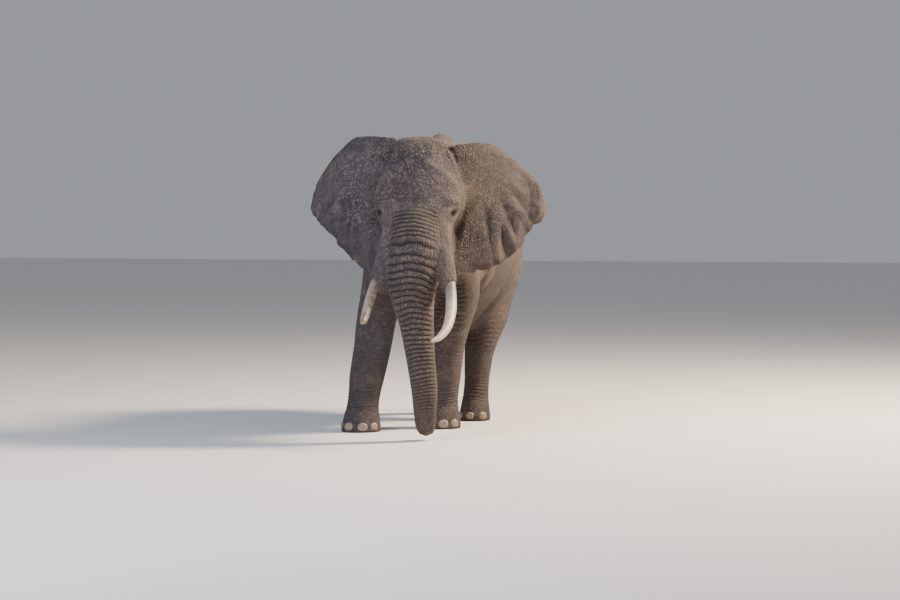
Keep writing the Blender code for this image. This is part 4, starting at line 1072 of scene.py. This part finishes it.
# ------------------------------------------------------------------ eyes
# Small dark amber eyes with a wet, slightly bulging cornea, set deep under thick lids. Each
# is one ball, and the angle from its look tells the pupil, the iris and the white.
IRIS_ANGLE, PUPIL_ANGLE = math.radians(46), math.radians(17)
CORNEA_RISE = 0.0016
AMBER, AMBER_RIM = (0.050, 0.022, 0.009, 1), (0.014, 0.007, 0.005, 1)
EYE_WHITE, PUPIL = (0.035, 0.022, 0.018, 1), (0, 0, 0, 1)
wet_eye, tree, shader = new_finish("wet_eye", 0.06)
turned = carried(tree, "turned")
colour = blend(tree, ranged(tree, turned, 0.62, 0.88), AMBER, AMBER_RIM)
colour = blend(tree, ranged(tree, turned, IRIS_ANGLE * 0.95, IRIS_ANGLE * 1.12), colour,
               EYE_WHITE)
colour = blend(tree, ranged(tree, turned, PUPIL_ANGLE * 0.95, PUPIL_ANGLE * 1.05), PUPIL, colour)
tree.links.new(colour, shader.inputs["Base Color"])
shader.inputs["Coat Weight"].default_value = 0.45
shader.inputs["Specular IOR Level"].default_value = 0.25
shader.inputs["Coat Roughness"].default_value = 0.02
for side, name in ((1, "eye_left"), (-1, "eye_right")):
    centre, look = Vector(eyes[side][0]) + SETTLE, Vector(eyes[side][1])
    shape = bmesh.new()
    bmesh.ops.create_uvsphere(shape, u_segments=48, v_segments=32, radius=BALL)
    turn = look.to_track_quat("Z", "Y").to_matrix()
    angles = []
    for vertex in shape.verts:
        angle = vertex.co.angle(UP)
        angles.append(angle)
        rise = CORNEA_RISE * math.exp(-(angle / IRIS_ANGLE) ** 4)
        vertex.co = centre + turn @ (vertex.co * (1 + rise / BALL))
    eye = as_object(name.replace("_", "ball_"), shape)
    carry(eye.data, "turned", angles)
    eye.data.materials.append(wet_eye)
    eye.data.shade_smooth()
    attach(eye, "root")
    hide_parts(name)

# ------------------------------------------------------------------ tusks
# Ivory tusks that sweep down and forward from their sheaths. The left one is long, cream and
# turns in to a chipped point; the right one is worn short, blunt and stained rust below. Both
# are painted darker as shade, most on the side that faces the trunk, the right one much more.
# left, forward, z, radius
TUSK_LEFT = (
    (0.300, 0.28, 2.02, 0.055), (0.350, 0.40, 1.85, 0.062), (0.394, 0.50, 1.69, 0.061),
    (0.422, 0.63, 1.50, 0.060), (0.426, 0.76, 1.36, 0.056), (0.402, 0.92, 1.235, 0.048),
    (0.350, 1.06, 1.155, 0.037), (0.296, 1.15, 1.125, 0.022), (0.276, 1.18, 1.120, 0.009),
)
TUSK_RIGHT = (
    (0.300, 0.28, 2.02, 0.055), (0.350, 0.40, 1.86, 0.060), (0.396, 0.50, 1.715, 0.058),
    (0.432, 0.61, 1.58, 0.055), (0.460, 0.73, 1.44, 0.050), (0.478, 0.84, 1.33, 0.041),
    (0.485, 0.89, 1.300, 0.032), (0.488, 0.915, 1.284, 0.017),
)
TUSK_POINTS, TUSK_STEPS = 40, 14
CREAM, TAN_STREAK, GREY_BLOOM = (0.62, 0.51, 0.37, 1), (0.40, 0.31, 0.22, 1), (0.36, 0.33, 0.31, 1)
# the colour of rust stains and of painted shade, then grime at the root
RUST_AND_SHADE, GRIME = (0.150, 0.100, 0.078, 1), (0.10, 0.075, 0.06, 1)
ivory, tree, shader = new_finish("ivory", 0.42)
streaks = mottle(tree, 0.035, 5, 0.6, (1, 1, 0.22))
colour = blend(tree, ranged(tree, streaks, 0.40, 0.66), CREAM, TAN_STREAK)
colour = blend(tree, ranged(tree, mottle(tree, 0.10, 4), 0.45, 0.70, 0, 0.6), colour, GREY_BLOOM)
# rust stains, and painted shade on the tusk's inner side
patchy = sums(tree, "MULTIPLY", carried(tree, "stain_and_shade"),
              ranged(tree, mottle(tree, 0.05, 4), 0.30, 0.62, 0.40, 1.0))
colour = blend(tree, patchy, colour, RUST_AND_SHADE)
at_root = ranged(tree, carried(tree, "along"), 0.30, 0.42, 0.75, 0.0)
colour = blend(tree, at_root, colour, GRIME)
tree.links.new(colour, shader.inputs["Base Color"])
relief = mottle(tree, 0.012, 4, 0.6, (1, 1, 0.15))
tree.links.new(add(tree, "ShaderNodeBump", {}, {
    "Height": relief, "Distance": 0.002, "Strength": 0.6}).outputs[0], shader.inputs["Normal"])
for name, side, rows, inner_shade, rust in (("tusk_left", 1, TUSK_LEFT, 0.25, 0.10),
                                            ("tusk_right", -1, TUSK_RIGHT, 1.00, 0.45)):
    rows = smooth_rows(rows, TUSK_STEPS)
    path = [on_head(side * row[0], row[1], row[2]) + SETTLE for row in rows]
    shape = bmesh.new()
    rope(shape, path, rows, TO_LEFT, TUSK_POINTS)
    tusk = as_object(name.replace("tusk_", "ivory_"), shape)
    places = get_points(tusk.data)
    step = np.repeat(np.arange(len(rows)), TUSK_POINTS) / (len(rows) - 1)
    axis = np.repeat(np.array([point[:] for point in path]), TUSK_POINTS, axis=0)
    way = places - axis
    grain = drift(np.stack((np.tile(np.arange(TUSK_POINTS), len(rows)) * 0.9, step * 7,
                            step * 0), axis=1), 1.0)
    notch = (side > 0) * hill(step, 0.925, 0.012) * step_up(way[:, 2], -0.01, 0.02)
    places = axis + way * (1 - 0.045 * grain * step_up(step, 0.2, 0.4) - 0.22 * notch)[:, None]
    set_points(tusk.data, places)
    # painted shade over each tusk, most on the side that faces the trunk, and rust towards the
    # outer end
    inner = step_up((way / np.linalg.norm(way, axis=1)[:, None]) @ np.array(TO_LEFT) * -side,
                    -0.35 - 0.45 * (side < 0), 0.65 - 0.25 * (side < 0))
    stain_and_shade = np.clip((0.50 + 0.50 * inner) * inner_shade + rust * step_up(step, 0.55, 0.90), 0, 1)
    carry(tusk.data, "along", step)
    carry(tusk.data, "stain_and_shade", stain_and_shade)
    tusk.data.shade_smooth()
    tusk.data.materials.append(ivory)
    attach(tusk, "root")
    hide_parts(name)

# ------------------------------------------------------------------ toenails
# Thick flat horn plates round the front of each foot: four on a forefoot, three on a hind
# foot. Each is domed, squared off below and ridged across by its growth.
NAIL_HALF_WIDTH, NAIL_HALF_HEIGHT, NAIL_THICKNESS = 0.056, 0.048, 0.030
NAIL_ANGLES = {"front": (-60, -21, 21, 60), "hind": (-42, 0, 42)}
NAIL_RINGS, NAIL_RING_POINTS = 10, 32
PALE_HORN, DARK_HORN = (0.27, 0.21, 0.155, 1), (0.15, 0.115, 0.088, 1)
horn, tree, shader = new_finish("nail_horn", 0.5)
colour = blend(tree, ranged(tree, mottle(tree, 0.02, 4, 0.6, (0.4, 0.4, 1)), 0.35, 0.65),
               PALE_HORN, DARK_HORN)
tree.links.new(colour, shader.inputs["Base Color"])
for end, angles in NAIL_ANGLES.items():
    for side in ("left", "right"):
        for number, degrees in enumerate(angles, 1):
            node = f"nail_{end}_{side}_{number}"
            low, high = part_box(node)
            middle = (low + high) / 2
            angle = math.radians(degrees)
            outward = Vector((math.sin(angle), -math.cos(angle), 0))
            across = Vector((math.cos(angle), math.sin(angle), 0))
            rings = []
            for index in range(NAIL_RINGS):
                lean = math.pi * (index + 0.5) / NAIL_RINGS - math.pi / 2
                reach, share = math.sin(lean), math.cos(lean) ** 0.7
                wave = 1 + 0.02 * math.sin(5 * index)
                rings.append(oval(middle + outward * (NAIL_THICKNESS * reach), across, UP,
                                  NAIL_HALF_WIDTH * share * wave, NAIL_HALF_HEIGHT * share,
                                  NAIL_HALF_HEIGHT * share * 0.96, 2.2, 3.2, NAIL_RING_POINTS))
            shape = bmesh.new()
            skin_over(shape, rings)
            nail = as_object(node.replace("nail", "toenail"), shape)
            nail.data.shade_smooth()
            nail.data.materials.append(horn)
            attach(nail, "root")
            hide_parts(node)

# ------------------------------------------------------------------ hair of the tail
# Black wiry hairs as thick as fishing line grow from the front and back edges of the tail's
# end and hang in a long brush.
HAIR_COUNT, HAIR_SEED = 700, 5
ROOT_TOP, ROOT_BOTTOM = 1.16, 0.975
# what each root carries: which way its hair stands, how long it is, where it lies on OFBake
ROOT_VALUES = {"lie": "FLOAT_VECTOR", "long": "FLOAT", "home": "FLOAT_VECTOR"}
black_hair, tree, shader = new_finish("black_hair", 0.45)
shader.inputs["Base Color"].default_value = (0.016, 0.013, 0.012, 1)


def strand_tree(material):
    """Hairs stand on the given roots; each root has a lie, a length and a place of its own."""
    tree = bpy.data.node_groups.new("strands", "GeometryNodeTree")
    for name, kind, value in (("Roots", "NodeSocketGeometry", None),
                              ("Thickness", "NodeSocketFloat", 0.001),
                              ("Bend", "NodeSocketFloat", 0.02),
                              ("Patch", "NodeSocketFloat", 0.003),
                              ("Steps", "NodeSocketInt", 7),
                              ("Seed", "NodeSocketInt", 1)):
        socket = tree.interface.new_socket(name, in_out="INPUT", socket_type=kind)
        if value is not None:
            socket.default_value = value
    tree.interface.new_socket("Hair", in_out="OUTPUT", socket_type="NodeSocketGeometry")
    given = add(tree, "NodeGroupInput", {}, {}).outputs
    line = add(tree, "GeometryNodeCurvePrimitiveLine", {}, {"Start": (0, 0, 0), "End": (0, 0, 1)})
    line = add(tree, "GeometryNodeResampleCurve", {}, {"Curve": line.outputs[0],
                                                       "Count": given["Steps"]})
    along = add(tree, "GeometryNodeSplineParameter", {}, {}).outputs["Factor"]
    bend = add(tree, "ShaderNodeCombineXYZ", {}, {"X": sums(
        tree, "MULTIPLY", given["Bend"], sums(tree, "MULTIPLY", along, along))})
    line = add(tree, "GeometryNodeSetPosition", {}, {"Geometry": line.outputs[0],
                                                     "Offset": bend.outputs[0]})
    taper = sums(tree, "MULTIPLY", given["Thickness"], sums(
        tree, "SUBTRACT", 0.55, sums(tree, "MULTIPLY", along, 0.45)))
    kept = add(tree, "GeometryNodeCaptureAttribute", {}, {"Geometry": line.outputs[0]})
    kept.capture_items.new("FLOAT", "along")
    tree.links.new(along, kept.inputs["along"])
    section = add(tree, "GeometryNodeCurvePrimitiveCircle", {}, {"Resolution": 3, "Radius": 1.0})
    hair = add(tree, "GeometryNodeCurveToMesh", {}, {"Curve": kept.outputs[0],
                                                     "Profile Curve": section.outputs[0],
                                                     "Scale": taper, "Fill Caps": True})
    lie, long, home = (
        add(tree, "GeometryNodeInputNamedAttribute", {"data_type": kind}, {"Name": name}).outputs[0]
        for name, kind in ROOT_VALUES.items())
    spin = add(tree, "FunctionNodeRandomValue", {"data_type": "FLOAT"},
               {"Max": math.tau, "Seed": given["Seed"]})
    twist = add(tree, "FunctionNodeAxisAngleToRotation", {}, {
        "Axis": (0, 0, 1), "Angle": spin.outputs[1]}).outputs[0]
    stand = add(tree, "FunctionNodeAlignRotationToVector", {"axis": "Z"}, {"Vector": lie})
    stand = add(tree, "FunctionNodeRotateRotation", {"rotation_space": "LOCAL"}, {
        "Rotation": stand.outputs[0], "Rotate By": twist})
    scale = add(tree, "ShaderNodeCombineXYZ", {}, {"X": 1.0, "Y": 1.0, "Z": long})
    many = add(tree, "GeometryNodeInstanceOnPoints", {}, {
        "Points": given["Roots"], "Instance": hair.outputs[0],
        "Rotation": stand.outputs[0], "Scale": scale.outputs[0]})
    many = add(tree, "GeometryNodeRealizeInstances", {}, {"Geometry": many.outputs[0]})
    beyond_root = sums(tree, "MULTIPLY", given["Patch"], kept.outputs["along"])
    patch = add(tree, "ShaderNodeCombineXYZ", {}, {"X": beyond_root, "Y": beyond_root})
    spot = add(tree, "ShaderNodeVectorMath", {"operation": "ADD"}, {0: home, 1: patch.outputs[0]})
    stored = add(tree, "GeometryNodeStoreNamedAttribute",
                 {"data_type": "FLOAT2", "domain": "CORNER"},
                 {"Geometry": many.outputs[0], "Name": "OFBake", "Value": spot.outputs[0]})
    done = add(tree, "GeometryNodeSetMaterial", {}, {"Geometry": stored.outputs[0],
                                                     "Material": material})
    add(tree, "NodeGroupOutput", {}, {0: done.outputs[0]})
    return tree


def grow_hair(name, tree, roots, lies, lengths, homes, **sizes):
    """Grow strands on roots and keep them as a plain mesh."""
    mesh = bpy.data.meshes.new(name)
    mesh.from_pydata([tuple(root) for root in roots], [], [])
    for (attribute, kind), values in zip(ROOT_VALUES.items(), (lies, lengths, homes)):
        layer = mesh.attributes.new(attribute, kind, "POINT")
        layer.data.foreach_set("value" if kind == "FLOAT" else "vector",
                               np.asarray(values, np.float32).ravel())
    thing = in_scene(name, mesh)
    grow = thing.modifiers.new("Strands", "NODES")
    grow.node_group = tree
    for item in tree.interface.items_tree:
        if item.in_out == "INPUT" and item.name in sizes:
            grow[item.identifier] = sizes[item.name]
    bake_modifiers(thing)
    for attribute in (*ROOT_VALUES, "along"):
        layer = thing.data.attributes.get(attribute)
        if layer:
            thing.data.attributes.remove(layer)
    thing.data.shade_smooth()
    return thing


strands = strand_tree(black_hair)
dice = np.random.default_rng(HAIR_SEED)
tail_line = np.array(tail_rows)
tail_line = tail_line[np.argsort(tail_line[:, 2])]
height = dice.uniform(ROOT_BOTTOM, ROOT_TOP, HAIR_COUNT)
height[:HAIR_COUNT // 3] = dice.uniform(ROOT_BOTTOM, ROOT_BOTTOM + 0.05, HAIR_COUNT // 3)
angle = np.where(dice.random(HAIR_COUNT) < 0.5, 0.0, math.pi) + dice.normal(0, 0.6, HAIR_COUNT)
radius = np.interp(height, tail_line[:, 2], tail_line[:, 3]) * 0.9
outward = np.stack((np.sin(angle), np.cos(angle), 0 * angle), axis=1)
roots = np.stack((np.interp(height, tail_line[:, 2], tail_line[:, 0]),
                  np.interp(height, tail_line[:, 2], tail_line[:, 1]), height), axis=1)
roots = roots + outward * radius[:, None] + np.array(SETTLE)
lies = outward * dice.uniform(0.0, 0.12, HAIR_COUNT)[:, None] + np.array((0.02, 0.02, -1))
lengths = np.minimum(dice.uniform(0.22, 0.46, HAIR_COUNT), roots[:, 2] - 0.53)
homes = np.stack((0.5 + angle / 10, (height - 0.9) / 0.5, 0 * angle), axis=1)
tuft = grow_hair("tail_hairs", strands, roots, lies, lengths, homes,
                 Thickness=0.0028, Bend=0.018, Seed=HAIR_SEED)
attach(tuft, "root")
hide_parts("tail_tuft")

# ------------------------------------------------------------------ lashes and bristles
# Long coarse lashes stand along each upper lid, and short stiff bristles are scattered over
# the chin, the crown and the front of the trunk.
LASHES, LASH_LONG = 46, 0.045
BRISTLES, BRISTLE_LONG = 900, 0.035
roots, lies, lengths, homes = [], [], [], []
for side, (centre, look) in eyes.items():
    level_way = np.cross((0, 0, 1), look) * side
    for share in np.linspace(-0.85, 0.95, LASHES):
        outer = share * OPENING
        above = UPPER_LID * (1 - abs(share) ** 1.6) + 0.22 * outer + 0.0015
        root = centre + level_way * outer + np.array((0, 0, above)) + look * (LID_FRONT - 0.002)
        roots.append(root + np.array(SETTLE))
        lies.append(look * 0.9 + level_way * (0.35 + share * 0.5 + dice.normal(0, 0.08))
                    - np.array((0, 0, 0.18 + dice.normal(0, 0.10))))
        lengths.append(LASH_LONG * dice.uniform(0.6, 1.0) * (1 - 0.35 * abs(share)))
        homes.append((0.25 + side * 0.1 + outer, 0.8 + above, 0))
lashes = grow_hair("lashes", strands, roots, lies, lengths, homes,
                   Thickness=0.0016, Bend=0.006, Steps=6, Seed=3)
skin_points, skin_normals = get_points(skin.data), get_points(skin.data, "normal")
side_way, front_way, high = head_frame(skin_points - np.array(SETTLE))
hairy = np.nonzero((front_way > -0.35) & (np.abs(side_way) < 0.42) & (
    (high > 3.12) | ((high < 2.0) & (high > 0.3)) | ((high > 1.4) & (high < 1.75))))[0]
chosen = dice.choice(hairy, BRISTLES, replace=False)
whorl = dice.normal(0, 0.35, (BRISTLES, 3)) + np.array((0, 0, -0.5))
homes = np.stack((side_way[chosen] * 0.4 + 0.5, high[chosen] * 0.28, 0 * chosen), axis=1)
bristles = grow_hair("bristles", strands, skin_points[chosen] - skin_normals[chosen] * 0.002,
                     skin_normals[chosen] + whorl, dice.uniform(0.4, 1.0, BRISTLES) * BRISTLE_LONG,
                     homes, Thickness=0.0011, Bend=0.006, Steps=4, Seed=9)
for hair in (lashes, bristles):
    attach(hair, "root")

# ------------------------------------------------------------------ floor, light and camera
# A wide pale studio floor, a warm soft light from high on the elephant's left, a wider, weak
# and cool one from ahead of it, and a long lens at the height of its eyes.
floor_shape = bmesh.new()
bmesh.ops.create_grid(floor_shape, x_segments=1, y_segments=1, size=90)
floor = as_object("studio_floor", floor_shape)
floor_paint, tree, shader = new_finish("floor_paint", 0.9)
shader.inputs["Base Color"].default_value = (0.72, 0.71, 0.69, 1)
floor.data.materials.append(floor_paint)

AIM = Vector((0, -0.3, 1.7))
CAMERA_AWAY, CAMERA_HEIGHT = 29, 2.5
CAMERA_SWING, CAMERA_PAN, CAMERA_FALL = math.radians(16), math.radians(0.69), math.radians(2.05)


def soft_light(name, azimuth, elevation, distance, size, power, colour):
    """An area light that faces the figure; azimuth 0 is ahead of it, 90 to its left."""
    lamp = bpy.data.lights.new(name, "AREA")
    lamp.size, lamp.energy, lamp.color = size, power, colour
    thing = in_scene(name, lamp)
    a, e = math.radians(azimuth), math.radians(elevation)
    way = Vector((math.sin(a) * math.cos(e), -math.cos(a) * math.cos(e), math.sin(e)))
    thing.location = AIM + way * distance
    thing.rotation_euler = way.to_track_quat("Z", "Y").to_euler()


soft_light("key", 112, 40, 14, 3.0, 7000, (1.0, 0.80, 0.60))
soft_light("fill", -15, 25, 16, 8, 2300, (0.72, 0.80, 1.0))
world = bpy.data.worlds.new("studio")
world.use_nodes = True
world.node_tree.nodes["Background"].inputs["Color"].default_value = (0.84, 0.88, 0.95, 1)
world.node_tree.nodes["Background"].inputs["Strength"].default_value = 0.40
bpy.context.scene.world = world

lens = bpy.data.cameras.new("camera")
lens.lens, lens.sensor_width = 103, 36
lens.clip_end = 400
camera = in_scene("camera", lens)
camera.location = SETTLE + Vector((CAMERA_AWAY * math.sin(CAMERA_SWING),
                                   -CAMERA_AWAY * math.cos(CAMERA_SWING), CAMERA_HEIGHT))
camera.rotation_euler = (math.pi / 2 - CAMERA_FALL, 0, CAMERA_SWING - CAMERA_PAN)
bpy.context.scene.camera = camera
